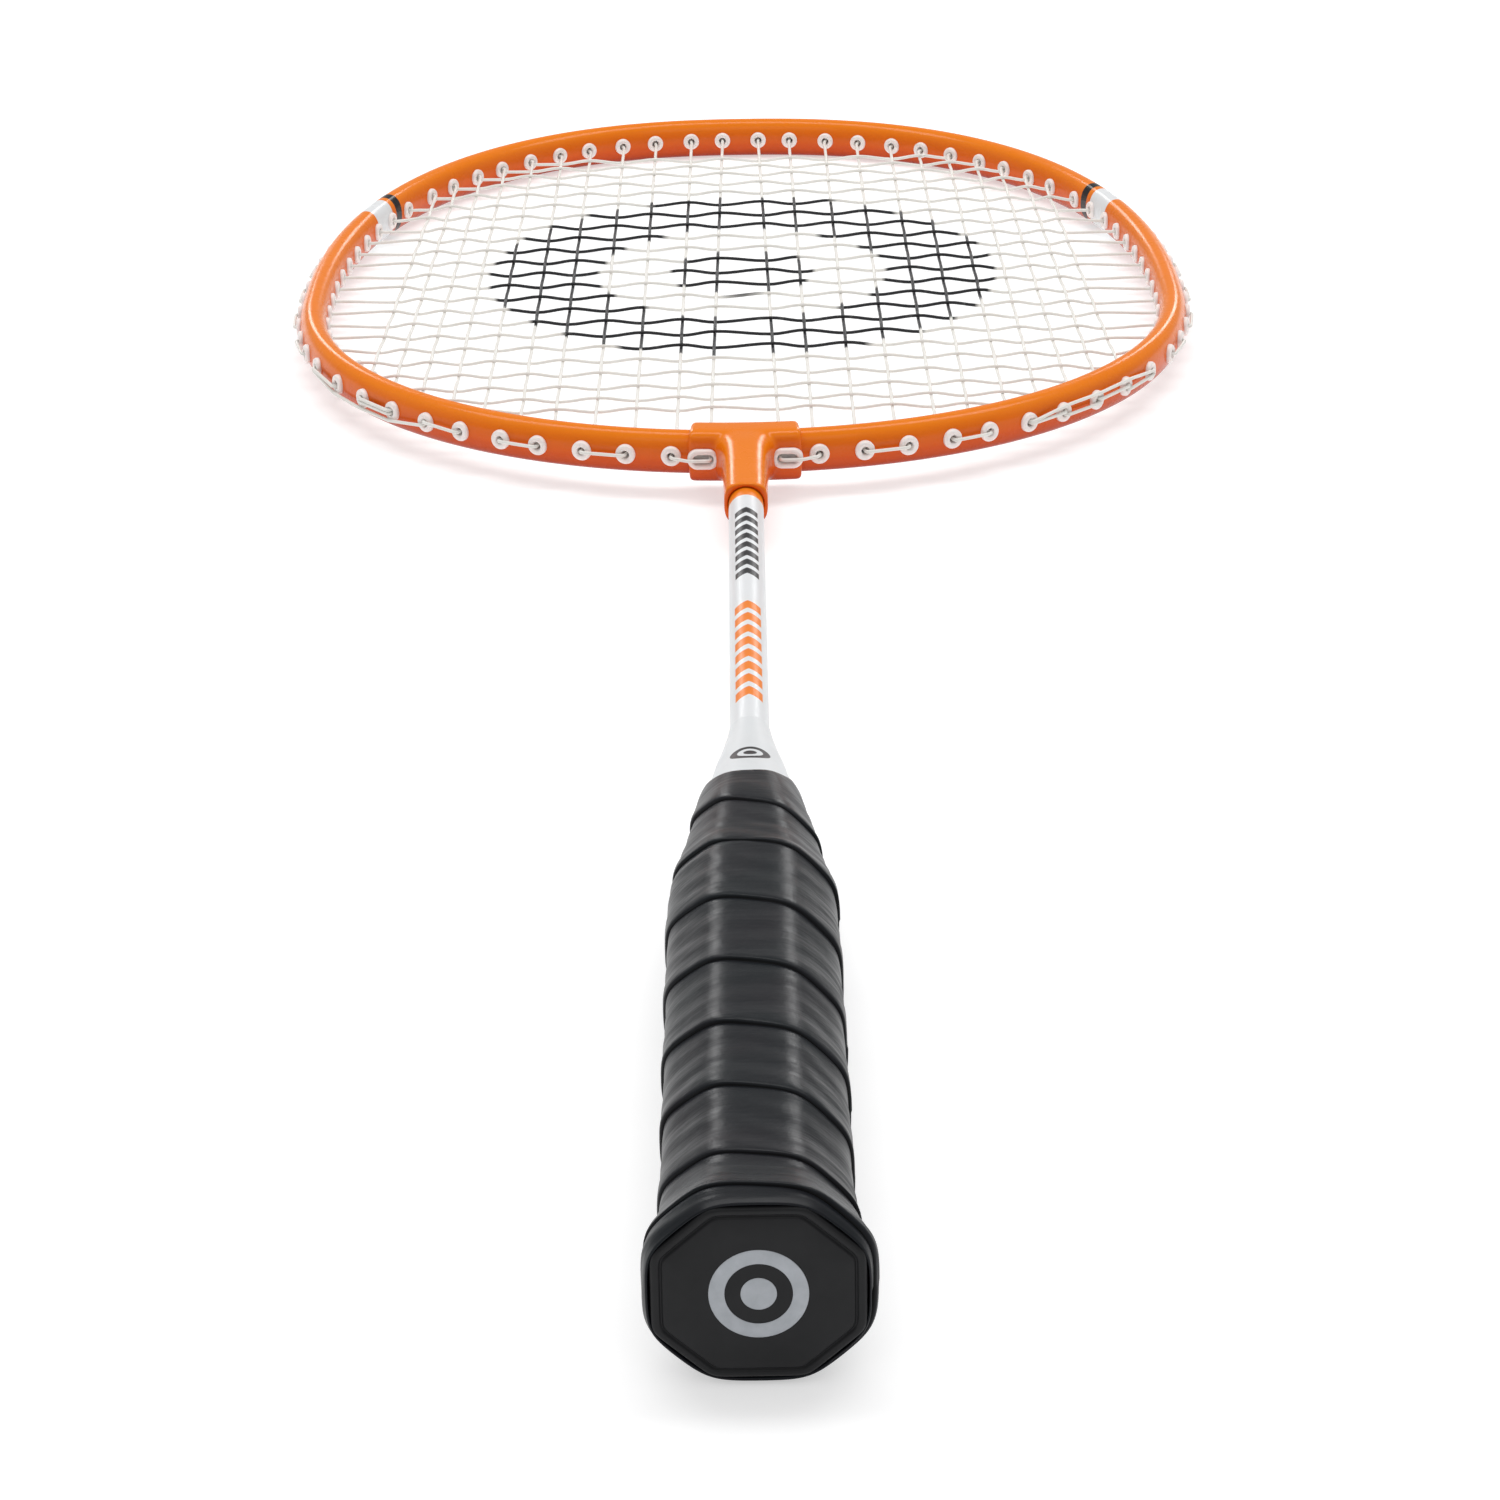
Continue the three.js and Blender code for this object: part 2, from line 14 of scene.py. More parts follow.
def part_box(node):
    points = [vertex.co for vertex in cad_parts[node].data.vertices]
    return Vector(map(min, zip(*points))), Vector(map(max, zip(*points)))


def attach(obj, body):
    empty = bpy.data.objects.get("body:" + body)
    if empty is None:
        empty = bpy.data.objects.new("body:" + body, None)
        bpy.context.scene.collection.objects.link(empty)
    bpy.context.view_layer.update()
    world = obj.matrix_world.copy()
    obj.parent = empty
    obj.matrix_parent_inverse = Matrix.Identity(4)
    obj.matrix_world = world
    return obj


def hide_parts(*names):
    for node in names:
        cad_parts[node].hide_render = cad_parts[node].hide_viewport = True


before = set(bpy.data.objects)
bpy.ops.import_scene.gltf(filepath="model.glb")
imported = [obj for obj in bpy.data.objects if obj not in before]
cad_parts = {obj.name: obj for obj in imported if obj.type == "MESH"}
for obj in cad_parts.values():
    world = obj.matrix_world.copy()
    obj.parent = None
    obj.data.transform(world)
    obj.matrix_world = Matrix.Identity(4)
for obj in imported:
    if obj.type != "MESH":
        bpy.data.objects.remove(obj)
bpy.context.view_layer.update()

MM = 0.001


def node_box(node):
    """Lowest and highest corner of a CAD node in millimetres."""
    low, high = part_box(node)
    return np.array(low) / MM, np.array(high) / MM


# ---- mesh tools ------------------------------------------------------------


def make_object(name, points, faces, smooth=True):
    mesh = bpy.data.meshes.new(name)
    mesh.from_pydata((np.asarray(points, float) * MM).tolist(), [], faces)
    mesh.update()
    if smooth:
        mesh.shade_smooth()
    made = bpy.data.objects.new(name, mesh)
    bpy.context.scene.collection.objects.link(made)
    return made


def loft(rings, loop=False):
    """Points and faces of a skin over rings of equal counts, closed by flat ends or in a loop."""
    rings = np.asarray(rings, float)
    count, sides = rings.shape[:2]
    points = rings.reshape(-1, 3)
    bands = count if loop else count - 1
    band = np.repeat(np.arange(bands), sides)
    i = np.tile(np.arange(sides), bands)
    here, there = band * sides, ((band + 1) % count) * sides
    j = (i + 1) % sides
    quads = np.stack([here + i, here + j, there + j, there + i], axis=1)
    a, b, c, d = (points[quads[:, k]] for k in range(4))
    volume = (a * (np.cross(b, c) + np.cross(c, d))).sum()
    faces = quads.tolist()
    if not loop:
        last = (count - 1) * sides
        faces.append(list(range(sides))[::-1])
        faces.append(list(range(last, last + sides)))
    if volume < 0:
        faces = [face[::-1] for face in faces]
    return points, faces


def joined(parts):
    """Several (points, faces) as one."""
    points, faces, start = [], [], 0
    for some_points, some_faces in parts:
        points.append(some_points)
        faces.extend([start + v for v in face] for face in some_faces)
        start += len(some_points)
    return np.concatenate(points), faces


def circle(sides, shift=0.0):
    """Even angles round a circle, shifted by a share of a step."""
    return 2 * np.pi * (np.arange(sides) + shift) / sides


def around(angle, radius, y):
    """Points at the given angles, reach and height round the racket's axis."""
    return np.stack([radius * np.cos(angle), y, radius * np.sin(angle)], axis=-1)


def superellipse(half_u, half_v, power, count):
    angle = circle(count)
    c, s = np.cos(angle), np.sin(angle)
    u = half_u * np.sign(c) * np.abs(c) ** (2 / power)
    v = half_v * np.sign(s) * np.abs(s) ** (2 / power)
    return np.stack([u, v], axis=1)


def smooth_curve(points, steps=8):
    """A Catmull-Rom curve through the points, of any dimension."""
    points = np.asarray(points, float)
    padded = np.vstack([2 * points[0] - points[1], points, 2 * points[-1] - points[-2]])
    t = (np.arange(steps) / steps)[:, None]
    out = []
    for a, b, c, d in zip(padded, padded[1:], padded[2:], padded[3:]):
        square = 2 * a - 5 * b + 4 * c - d
        cube = 3 * b - 3 * c + d - a
        out.append(0.5 * (2 * b + (c - a) * t + square * t**2 + cube * t**3))
    return np.vstack([*out, points[-1:]])


def turned(profile, sides, loop=True):
    """A solid of revolution from (radius, y) points: a closed profile, or without loop a filled bar."""
    angle = circle(sides)
    return loft([around(angle, r, np.full(sides, y)) for r, y in profile], loop=loop)


def cord(points, radius, sides=8, loop=False):
    """A round cord along a path, without twist."""
    points = np.asarray(points, float)
    if loop:
        tangents = np.roll(points, -1, axis=0) - np.roll(points, 1, axis=0)
    else:
        tangents = np.gradient(points, axis=0)
    tangents /= np.linalg.norm(tangents, axis=1)[:, None]
    normal = np.cross(tangents[0], [0.3, 0.2, 1.0])
    angle = circle(sides)
    rings = []
    for point, tangent in zip(points, tangents):
        normal = normal - tangent * normal.dot(tangent)
        normal /= np.linalg.norm(normal)
        side = np.cross(tangent, normal)
        rings.append(point + radius * (np.outer(np.cos(angle), normal) + np.outer(np.sin(angle), side)))
    return loft(rings, loop=loop)


NEARLY_STRAIGHT = 0.985  # cosine of the turn below which a path's corner stays as it is
LONGEST_CURVE = 0.45  # of the stretch between two corners


def rounded(points, radius, steps=4):
    """The path with each sharp corner replaced by a short curve."""
    points = [np.asarray(p, float) for p in points]
    out = [points[0]]
    for a, b, c in zip(points, points[1:], points[2:]):
        before, after = a - b, c - b
        long_before, long_after = np.linalg.norm(before), np.linalg.norm(after)
        if before.dot(after) < -NEARLY_STRAIGHT * long_before * long_after:
            out.append(b)
            continue
        start = b + before * min(radius / long_before, LONGEST_CURVE)
        end = b + after * min(radius / long_after, LONGEST_CURVE)
        for t in np.linspace(0, 1, steps + 1):
            out.append((1 - t) ** 2 * start + 2 * t * (1 - t) * b + t**2 * end)
    out.append(points[-1])
    return out


def apply_modifier(target, kind, **settings):
    modifier = target.modifiers.new(kind.lower(), kind)
    for key, value in settings.items():
        setattr(modifier, key, value)
    bpy.ops.object.select_all(action="DESELECT")
    target.select_set(True)
    bpy.context.view_layer.objects.active = target
    bpy.ops.object.modifier_apply(modifier=modifier.name)


def cut_or_join(target, parts, operation="DIFFERENCE"):
    """Cuts the parts out of the target, or joins them to it, and drops them."""
    other = make_object("tool", *joined(parts))
    apply_modifier(target, "BOOLEAN", object=other, operation=operation, solver="EXACT")
    bpy.data.objects.remove(other)


# ---- the line of the hoop --------------------------------------------------

# Half sizes of the tube, in and across the head, and the widest line of the head, as in the CAD.
TUBE = {"depth": 3.1, "height": 4.75, "wall": 0.45, "power": 2.2}
HEAD_CENTRE_Y = 442.1
hoop_low, hoop_high = node_box("hoop")
HEAD_HALF_WIDTH = hoop_high[0] - TUBE["depth"]
TIP = {"length": hoop_high[1] - TUBE["depth"] - HEAD_CENTRE_Y, "power": 2.32}
THROAT = {"length": HEAD_CENTRE_Y - hoop_low[1] - TUBE["depth"], "power": 2.06}
TIP_MAIN_X = [4.7, 13, 22.6, 31.3, 40.3, 48, 55.7, 63, 69.1, 75.1, 80.1]
THROAT_MAIN_X = [7.4, 15.3, 24.7, 33.8, 43, 50.8, 59.4, 66.9, 74.4, 81.2, 87.2]
MAINS = len(TIP_MAIN_X)
TIP_SHARED, SIDE_CROSSES, THROAT_SHARED = 5, 14, 4
CROSSES = TIP_SHARED + SIDE_CROSSES + THROAT_SHARED


class Spot:
    """A place on the middle line of the tube, with the direction that points out of the head."""

    def __init__(self, x, y):
        half = TIP if y >= HEAD_CENTRE_Y else THROAT
        dy = y - HEAD_CENTRE_Y
        power = half["power"] - 1
        across = math.copysign(abs(x / HEAD_HALF_WIDTH) ** power, x) / HEAD_HALF_WIDTH
        along = math.copysign(abs(dy / half["length"]) ** power, dy) / half["length"]
        self.middle = np.array([x, y, 0.0])
        self.out = np.array([across, along, 0.0]) / math.hypot(across, along)
        self.tangent = np.array([-self.out[1], self.out[0], 0.0])

    def at(self, distance, z=0.0):
        return self.middle + self.out * distance + np.array([0.0, 0.0, z])

    def ring(self, outline):
        return [self.at(u, z) for u, z in outline]


def spot_at_angle(angle):
    c, s = math.cos(angle), math.sin(angle)
    half = TIP if s >= 0 else THROAT
    total = abs(c / HEAD_HALF_WIDTH) ** half["power"] + abs(s / half["length"]) ** half["power"]
    reach = total ** (-1 / half["power"])
    return Spot(reach * c, HEAD_CENTRE_Y + reach * s)


def spot_at_x(x, half):
    rise = half["length"] * (1 - abs(x / HEAD_HALF_WIDTH) ** half["power"]) ** (1 / half["power"])
    return Spot(x, HEAD_CENTRE_Y + (rise if half is TIP else -rise))


def spot_at_y(y, side):
    half = TIP if y >= HEAD_CENTRE_Y else THROAT
    share = abs((y - HEAD_CENTRE_Y) / half["length"]) ** half["power"]
    return Spot(side * HEAD_HALF_WIDTH * (1 - share) ** (1 / half["power"]), y)


# ---- grommets and the places of the strings --------------------------------

# Radii, and distances from the tube's middle to where the flange sits and to the mouth at each side.
GROMMET = {
    "bore": 0.85, "barrel": 1.5, "flange": 2.15, "seat": 2.7, "mouth": 3.95, "inner_flange": 2.02,
    "inner_mouth": 3.8,
}
OUTER_BEND = GROMMET["mouth"] + 0.55
INNER_BEND = GROMMET["mouth"] + 0.45
HOLE_PLAY = 0.1  # between a grommet and its hole
# The oval grommets in the T-joint: two half rounds with a straight stretch of twice `straight` between.
SLOT = {"x": 8.9, "straight": 1.1, "bore": 1.05, "barrel": 1.6, "flange": 2.25}
SLOT_SEAT_Y = 342.7
SLOT_MOUTH_Y = 341.2
SLOT_BACK_Y = node_box("slot_grommet_left")[1][1]


def cross_heights():
    """The shared crosses follow their holes, and the rest are spread evenly between them."""
    first = [spot_at_x(x, TIP).at(-INNER_BEND)[1] for x in TIP_MAIN_X[-TIP_SHARED:]]
    last = [spot_at_x(x, THROAT).at(-INNER_BEND)[1] for x in THROAT_MAIN_X[-THROAT_SHARED:][::-1]]
    middle = np.linspace(first[-1], last[0], SIDE_CROSSES + 2)[1:-1]
    return [*first, *middle, *last]


CROSS_Y = cross_heights()


def main_hole(side, main, half):
    return spot_at_x(side * (TIP_MAIN_X if half is TIP else THROAT_MAIN_X)[main], half)


def cross_hole(side, cross):
    if cross < TIP_SHARED:
        return main_hole(side, MAINS - TIP_SHARED + cross, TIP)
    from_last = CROSSES - 1 - cross
    if from_last < THROAT_SHARED:
        return main_hole(side, MAINS - THROAT_SHARED + from_last, THROAT)
    return spot_at_y(CROSS_Y[cross], side)


def side_holes(side):
    """All round holes of one side, from the tip to the throat."""
    tip = [main_hole(side, main, TIP) for main in range(MAINS - TIP_SHARED)]
    rows = [cross_hole(side, cross) for cross in range(CROSSES)]
    throat = [main_hole(side, main, THROAT) for main in range(1, MAINS - THROAT_SHARED)]
    return [*tip, *rows, *throat[::-1]]


def plug(centre, out, tangent, profile, straight=0.0, sides=28):
    """A ring round a hole, stretched by `straight`, from a closed profile of (radius, distance out)."""
    angle = circle(sides, 0.5)
    along = np.sign(np.cos(angle)) * straight
    up = np.array([0.0, 0.0, 1.0])
    rings = []
    for radius, distance in profile:
        flat = np.outer(along + radius * np.cos(angle), tangent) + np.outer(radius * np.sin(angle), up)
        rings.append(centre + out * distance + flat)
    return loft(rings, loop=True)


def grommet_profile(bore, barrel, flange, seat, mouth, inner_flange, inner_mouth):
    """A bore with a soft-edged ring on each side of the tube."""
    soft = 0.32
    return [
        (bore, -inner_mouth + soft), (bore, mouth - soft), (bore + 0.12, mouth - 0.1), (bore + soft, mouth),
        (flange - 0.42, mouth - 0.02), (flange - 0.12, mouth - 0.18), (flange, mouth - 0.5), (flange, seat),
        (barrel, seat - 0.25), (barrel, -seat + 0.25), (inner_flange, -seat),
        (inner_flange, -inner_mouth + 0.4), (inner_flange - 0.14, -inner_mouth + 0.12),
        (inner_flange - 0.38, -inner_mouth), (bore + soft, -inner_mouth), (bore + 0.1, -inner_mouth + 0.1),
    ]


def grommet(spot):
    return plug(spot.middle, spot.out, spot.tangent, grommet_profile(**GROMMET))


def runner(a, b):
    """The rail inside the tube that joins the two grommets of a pair."""
    along = b.middle - a.middle
    length = np.linalg.norm(along)
    along /= length
    overlap, half_rail = 0.25, 0.5
    clear = GROMMET["barrel"] - overlap
    ends = [a.middle + along * clear, b.middle - along * clear]
    across = np.array([-along[1], along[0], 0.0])
    outline = superellipse(half_rail, half_rail, 4, 12)
    return loft([[end + across * u + np.array([0, 0, z]) for u, z in outline] for end in ends])


# ---- materials -------------------------------------------------------------


class Paint:
    """A procedural material and the few node steps that all of them use."""

    def __init__(self, name, **settings):
        self.material = bpy.data.materials.new(name)
        self.material.use_nodes = True
        self.tree = self.material.node_tree
        self.shader = self.tree.nodes["Principled BSDF"]
        for socket, value in settings.items():
            self.shader.inputs[socket.replace("_", " ")].default_value = value
        self.place = self.node("ShaderNodeTexCoord").outputs["Object"]

    def node(self, kind, **inputs):
        node = self.tree.nodes.new(kind)
        for socket, value in inputs.items():
            self.feed(node.inputs[socket.replace("_", " ")], value)
        return node

    def feed(self, socket, value):
        if isinstance(value, bpy.types.NodeSocket):
            self.tree.links.new(value, socket)
        else:
            socket.default_value = value

    def math(self, operation, a, b=None, clamp=False):
        node = self.tree.nodes.new("ShaderNodeMath")
        node.operation = operation
        node.use_clamp = clamp
        self.feed(node.inputs[0], a)
        if b is not None:
            self.feed(node.inputs[1], b)
        return node.outputs[0]

    def noise(self, scale, detail=3.0, stretch=(1, 1, 1), roughness=0.5):
        """Noise with `scale` cells to the metre, stretched along the axes."""
        mapping = self.node("ShaderNodeMapping", Vector=self.place, Scale=stretch)
        texture = self.node(
            "ShaderNodeTexNoise", Vector=mapping.outputs[0], Scale=scale, Detail=detail, Roughness=roughness
        )
        return texture.outputs["Fac"]

    def spread(self, value, low, high, from_low=0.3, from_high=0.7):
        """The value remapped to the range from low to high."""
        node = self.node("ShaderNodeMapRange", Value=value)
        for i, number in enumerate([from_low, from_high, low, high]):
            node.inputs[i + 1].default_value = number
        return node.outputs[0]

    def mix(self, share, a, b):
        """Colour a where share is 0 and b where it is 1."""
        node = self.tree.nodes.new("ShaderNodeMix")
        node.data_type = "RGBA"
        self.feed(node.inputs["Factor"], share)
        for socket, value in ((node.inputs[6], a), (node.inputs[7], b)):
            self.feed(socket, value if isinstance(value, bpy.types.NodeSocket) else (*value, 1))
        return node.outputs[2]

    def blotched(self, scale, a, b):
        """Colours a and b in soft patches, with `scale` of them to the metre."""
        return self.mix(self.spread(self.noise(scale), 0, 1), a, b)

    def xyz(self):
        return self.node("ShaderNodeSeparateXYZ", Vector=self.place).outputs

    def inside(self, value, low, high, soft=0.05):
        """1 where low < value < high, in millimetres, with soft edges."""
        lower = self.spread(value, 0, 1, (low - soft) * MM, (low + soft) * MM)
        upper = self.spread(value, 1, 0, (high - soft) * MM, (high + soft) * MM)
        return self.math("MULTIPLY", lower, upper)

    def color(self, value):
        self.feed(self.shader.inputs["Base Color"], value)

    def roughness(self, value):
        self.feed(self.shader.inputs["Roughness"], value)

    def bump(self, *layers):
        """Bumps from (height, depth in millimetres) layers."""
        normal = None
        for height, depth in layers:
            node = self.node("ShaderNodeBump", Height=height, Distance=depth * MM, Strength=1.0)
            if normal is not None:
                self.feed(node.inputs["Normal"], normal)
            normal = node.outputs[0]
        self.feed(self.shader.inputs["Normal"], normal)

    def ring_mark(self, centre_y, outer, inner, dot, soft):
        """A plain ring with a dot in it, printed on the face that looks along Z."""
        x, y, _ = self.xyz()
        dy = self.math("SUBTRACT", y, centre_y * MM)
        squares = self.math("ADD", self.math("MULTIPLY", x, x), self.math("MULTIPLY", dy, dy))
        distance = self.math("SQRT", squares)
        ring = self.inside(distance, inner, outer, soft)
        return self.math("ADD", ring, self.inside(distance, -1, dot, soft), clamp=True)


# The orange coat is yellower on faces turned up, and carries painted shade, deeper and redder, on the flanks
# and underneath.
ORANGE = (0.83, 0.205, 0.004)
# The next two are painted shade: on the flanks, also used for patches of deeper coat, and underneath.
ORANGE_FLANK_SHADE_AND_POOL = (0.68, 0.09, 0.004)
ORANGE_UNDER_SHADE = (0.36, 0.03, 0.006)
WHITE = (0.74, 0.75, 0.76)
INK = (0.012, 0.012, 0.014)
POOL_SCALE = 45  # patches to the metre where a coat has pooled and is deeper


# The painted band and stripe on each shoulder of the hoop: where they start, and their reach along the tube.
SHOULDER_Y = 508.3
WHITE_BAND = (-1.5, 8)
DARK_STRIPE = (10, 13)


def lacquer_surface(paint, smooth, rough):
    """The fine ripple of a coat, with its roughness wandering from smooth to rough."""
    paint.roughness(paint.spread(paint.noise(220, 4), smooth, rough))
    paint.bump((paint.noise(420, 2), 0.008), (paint.noise(2400, 2), 0.0015))


def orange_paint(name):
    """A glossy orange coat, and the colour that goes into its shader, with painted shade on its flanks and
    underneath.
    """
    paint = Paint(name, Coat_Weight=0.3, Coat_Roughness=0.16, IOR=1.5, Specular_IOR_Level=0.08)
    lacquer_surface(paint, 0.2, 0.34)
    facing = paint.node("ShaderNodeTexCoord").outputs["Normal"]
    up = paint.node("ShaderNodeSeparateXYZ", Vector=facing).outputs[2]
    # Painted shade: faces turned sideways and down get darker, redder copies of the orange.
    flank = paint.mix(paint.spread(up, 0, 1, -0.75, -0.05), ORANGE_UNDER_SHADE, ORANGE_FLANK_SHADE_AND_POOL)
    tone = paint.mix(paint.spread(up, 0, 1, -0.15, 0.65), flank, ORANGE)
    pooling = paint.spread(paint.noise(POOL_SCALE), 0, 0.08)
    return paint, paint.mix(pooling, tone, ORANGE_FLANK_SHADE_AND_POOL)


def joint_lacquer():
    paint, base = orange_paint("t_joint_lacquer")
    paint.color(base)
    return paint.material


def hoop_lacquer():
    """Orange, with a white band and a thin dark stripe at each shoulder."""
    paint, base = orange_paint("hoop_lacquer")
    x, y, _ = paint.xyz()
    spot = spot_at_y(SHOULDER_Y, 1)
    along_x = paint.math("MULTIPLY", paint.math("ABSOLUTE", x), float(spot.tangent[0]))
    along = paint.math("ADD", along_x, paint.math("MULTIPLY", y, float(spot.tangent[1])))
    along = paint.math("SUBTRACT", along, float(spot.middle.dot(spot.tangent)) * MM)
    edge = 0.08
    base = paint.mix(paint.inside(along, *WHITE_BAND, edge), base, WHITE)
    paint.color(paint.mix(paint.inside(along, *DARK_STRIPE, edge), base, INK))
    return paint.material


# Rows of chevrons printed on the shaft: their ends, half width, spacing, and the inked share of it.
CHEVRONS = [
    {"low": 268, "high": 306, "half_width": 2.3, "pitch": 4.75, "inked": 0.6, "color": INK},
    {"low": 208, "high": 256, "half_width": 2.5, "pitch": 6.0, "inked": 0.62, "color": ORANGE},
]
CHEVRON_SLOPE = 0.8
ORANGE_END_Y = 311.2  # the shaft is orange from here to its upper end


def chevron_ink(paint, across, slanted, row):
    """1 where a row of chevrons is printed."""
    climb = paint.math("SUBTRACT", slanted, row["low"] * MM)
    step = paint.math("FRACT", paint.math("DIVIDE", climb, row["pitch"] * MM))
    bar = paint.spread(step, 1, 0, row["inked"] - 0.02, row["inked"] + 0.02)
    along = paint.inside(slanted, row["low"], row["high"])
    window = paint.math("MULTIPLY", along, paint.inside(across, -1, row["half_width"]))
    return paint.math("MULTIPLY", bar, window)


def shaft_lacquer():
    """White, orange where it enters the T-joint, with two rows of printed chevrons."""
    paint = Paint("shaft_lacquer", Coat_Weight=0.15, Coat_Roughness=0.3, IOR=1.5, Specular_IOR_Level=0.25)
    lacquer_surface(paint, 0.34, 0.46)
    base = paint.blotched(POOL_SCALE, WHITE, (0.70, 0.715, 0.73))
    x, y, _ = paint.xyz()
    across = paint.math("ABSOLUTE", x)
    slanted = paint.math("ADD", y, paint.math("MULTIPLY", across, CHEVRON_SLOPE))
    for row in CHEVRONS:
        base = paint.mix(chevron_ink(paint, across, slanted, row), base, row["color"])
    orange_end = paint.inside(y, ORANGE_END_Y, shaft_high[1] + 10)
    paint.color(paint.mix(orange_end, base, ORANGE))
    return paint.material


CONE_MARK = {"centre_y": 173.5, "outer": 3.6, "inner": 2.3, "dot": 1.2}


def cone_plastic():
    paint = Paint("cone_plastic", Coat_Weight=0.12, Coat_Roughness=0.3, IOR=1.48, Specular_IOR_Level=0.25)
    lacquer_surface(paint, 0.36, 0.48)
    base = paint.blotched(POOL_SCALE, (0.69, 0.71, 0.72), (0.65, 0.67, 0.685))
    paint.color(paint.mix(paint.ring_mark(**CONE_MARK, soft=0.05), base, INK))
    return paint.material


def grommet_plastic():
    paint = Paint(
        "grommet_plastic", IOR=1.48,
        Subsurface_Weight=0.25, Subsurface_Radius=(0.6, 0.5, 0.45), Subsurface_Scale=MM,
    )
    paint.color(paint.blotched(300, (0.88, 0.81, 0.785), (0.84, 0.76, 0.73)))
    paint.roughness(paint.spread(paint.noise(900), 0.32, 0.5))
    paint.bump((paint.noise(1500, 2), 0.01))
    return paint.material


STENCIL = {"centre_y": 468, "outer": 60, "inner": 34, "dot": 17}


def string_nylon():
    """Off-white string with a ring and a dot stencilled in black across the bed."""
    paint = Paint("string_nylon", IOR=1.5, Specular_IOR_Level=0.3)
    nylon = paint.blotched(160, (0.80, 0.785, 0.745), (0.75, 0.73, 0.685))
    wear = paint.spread(paint.noise(500, 2), 0.94, 1.0, 0.25, 0.4)
    ink = paint.math("MULTIPLY", paint.ring_mark(**STENCIL, soft=0.5), wear)
    paint.color(paint.mix(ink, nylon, INK))
    paint.roughness(paint.spread(paint.noise(700), 0.3, 0.45))
    paint.bump((paint.noise(2600, 2), 0.012))
    return paint.material


def grip_leather():
    """Soft dark polyurethane band, rippled across its length, with painted shade, nearly black, down in the
    seams.
    """
    paint = Paint("grip_leather", IOR=1.48, Specular_IOR_Level=0.18)
    tones = paint.blotched(70, (0.0045, 0.0075, 0.0098), (0.0078, 0.0076, 0.0106))
    attribute = paint.node("ShaderNodeAttribute")
    attribute.attribute_name = "crease"
    crease = attribute.outputs["Fac"]
    # Painted shade: the colour goes nearly black where the crease attribute marks the bottom of a seam.
    paint.color(paint.mix(crease, tones, (0.002, 0.002, 0.002)))
    streaks = paint.noise(330, 3, stretch=(0.25, 2.4, 0.25), roughness=0.6)
    dull = paint.math("MULTIPLY", crease, 0.5)
    paint.roughness(paint.math("ADD", paint.spread(streaks, 0.3, 0.42), dull, clamp=True))
    dents, grain = paint.noise(120, 3), paint.noise(4200, 2)
    paint.bump((streaks, 0.05), (dents, 0.22), (grain, 0.006))
    return paint.material


def cap_plastic():
    paint = Paint("cap_plastic", IOR=1.5, Specular_IOR_Level=0.2)
    paint.color(paint.blotched(90, (0.0085, 0.0088, 0.0098), (0.012, 0.0124, 0.0136)))
    paint.roughness(paint.spread(paint.noise(600, 4), 0.34, 0.46))
    paint.bump((paint.noise(5200, 2), 0.01), (paint.noise(150, 2), 0.03))
    return paint.material


def silver_print():
    paint = Paint("silver_print", Metallic=0.35, IOR=1.5)
    paint.color(paint.blotched(400, (0.40, 0.42, 0.45), (0.34, 0.36, 0.385)))
    paint.roughness(paint.spread(paint.noise(2200, 3), 0.38, 0.55))
    paint.bump((paint.noise(5000, 2), 0.004))
    return paint.material


def bare_steel():
    paint = Paint("bare_steel", Metallic=1.0)
    paint.color(paint.mix(paint.noise(200), (0.56, 0.57, 0.59), (0.48, 0.49, 0.5)))
    paint.roughness(paint.spread(paint.noise(900, 3, stretch=(1, 8, 1)), 0.25, 0.45))
    paint.bump((paint.noise(1800, 2, stretch=(1, 6, 1)), 0.004))
    return paint.material


def handle_wood():
    paint = Paint("handle_wood", IOR=1.45)
    rings = paint.noise(420, 4, stretch=(1, 0.05, 1), roughness=0.65)
    paint.color(paint.mix(paint.spread(rings, 0, 1), (0.52, 0.33, 0.16), (0.36, 0.2, 0.09)))
    paint.roughness(paint.spread(rings, 0.55, 0.75))
    paint.bump((rings, 0.05))
    return paint.material


def pale_floor():
    """A matt pale sheet that gives a little light of its own, so that the racket's shadow stays soft."""
    paint = Paint(
        "pale_floor", Roughness=0.9, Specular_IOR_Level=0.1,
        Emission_Color=(1, 1, 1, 1), Emission_Strength=0.5,
    )
    paint.color(paint.blotched(3, (0.66, 0.66, 0.66), (0.65, 0.65, 0.655)))
    return paint.material


# ---- pieces ----------------------------------------------------------------


def finish_piece(piece, material, slot, *nodes):
    """Gives the piece its material and body, and hides the CAD nodes it stands for."""
    piece.data.materials.clear()
    piece.data.materials.append(material)
    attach(piece, "root")
    if nodes:
        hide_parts(*nodes)


def tube_rings(spots, depth, height, sides):
    outline = superellipse(depth, height, TUBE["power"], sides)
    return [spot.ring(outline) for spot in spots]


def hole_cutter(spot, reach=6):
    """A round bar through the tube where a grommet goes."""
    angle = circle(20)
    radius = GROMMET["barrel"] + HOLE_PLAY
    flat = np.outer(radius * np.cos(angle), spot.tangent)
    flat[:, 2] = radius * np.sin(angle)
    return loft([spot.at(-reach) + flat, spot.at(reach) + flat])


def slot_cutter(side, reach=12):
    """An oval bar along Y through the throat where an oval grommet goes."""
    angle = circle(32, 0.5)
    radius = SLOT["barrel"] + HOLE_PLAY
    x = side * SLOT["x"] + np.sign(np.cos(angle)) * SLOT["straight"] + radius * np.cos(angle)
    z = radius * np.sin(angle)
    y = np.full(len(angle), spot_at_x(0, THROAT).middle[1])
    return loft([np.stack([x, y - reach, z], axis=1), np.stack([x, y + reach, z], axis=1)])


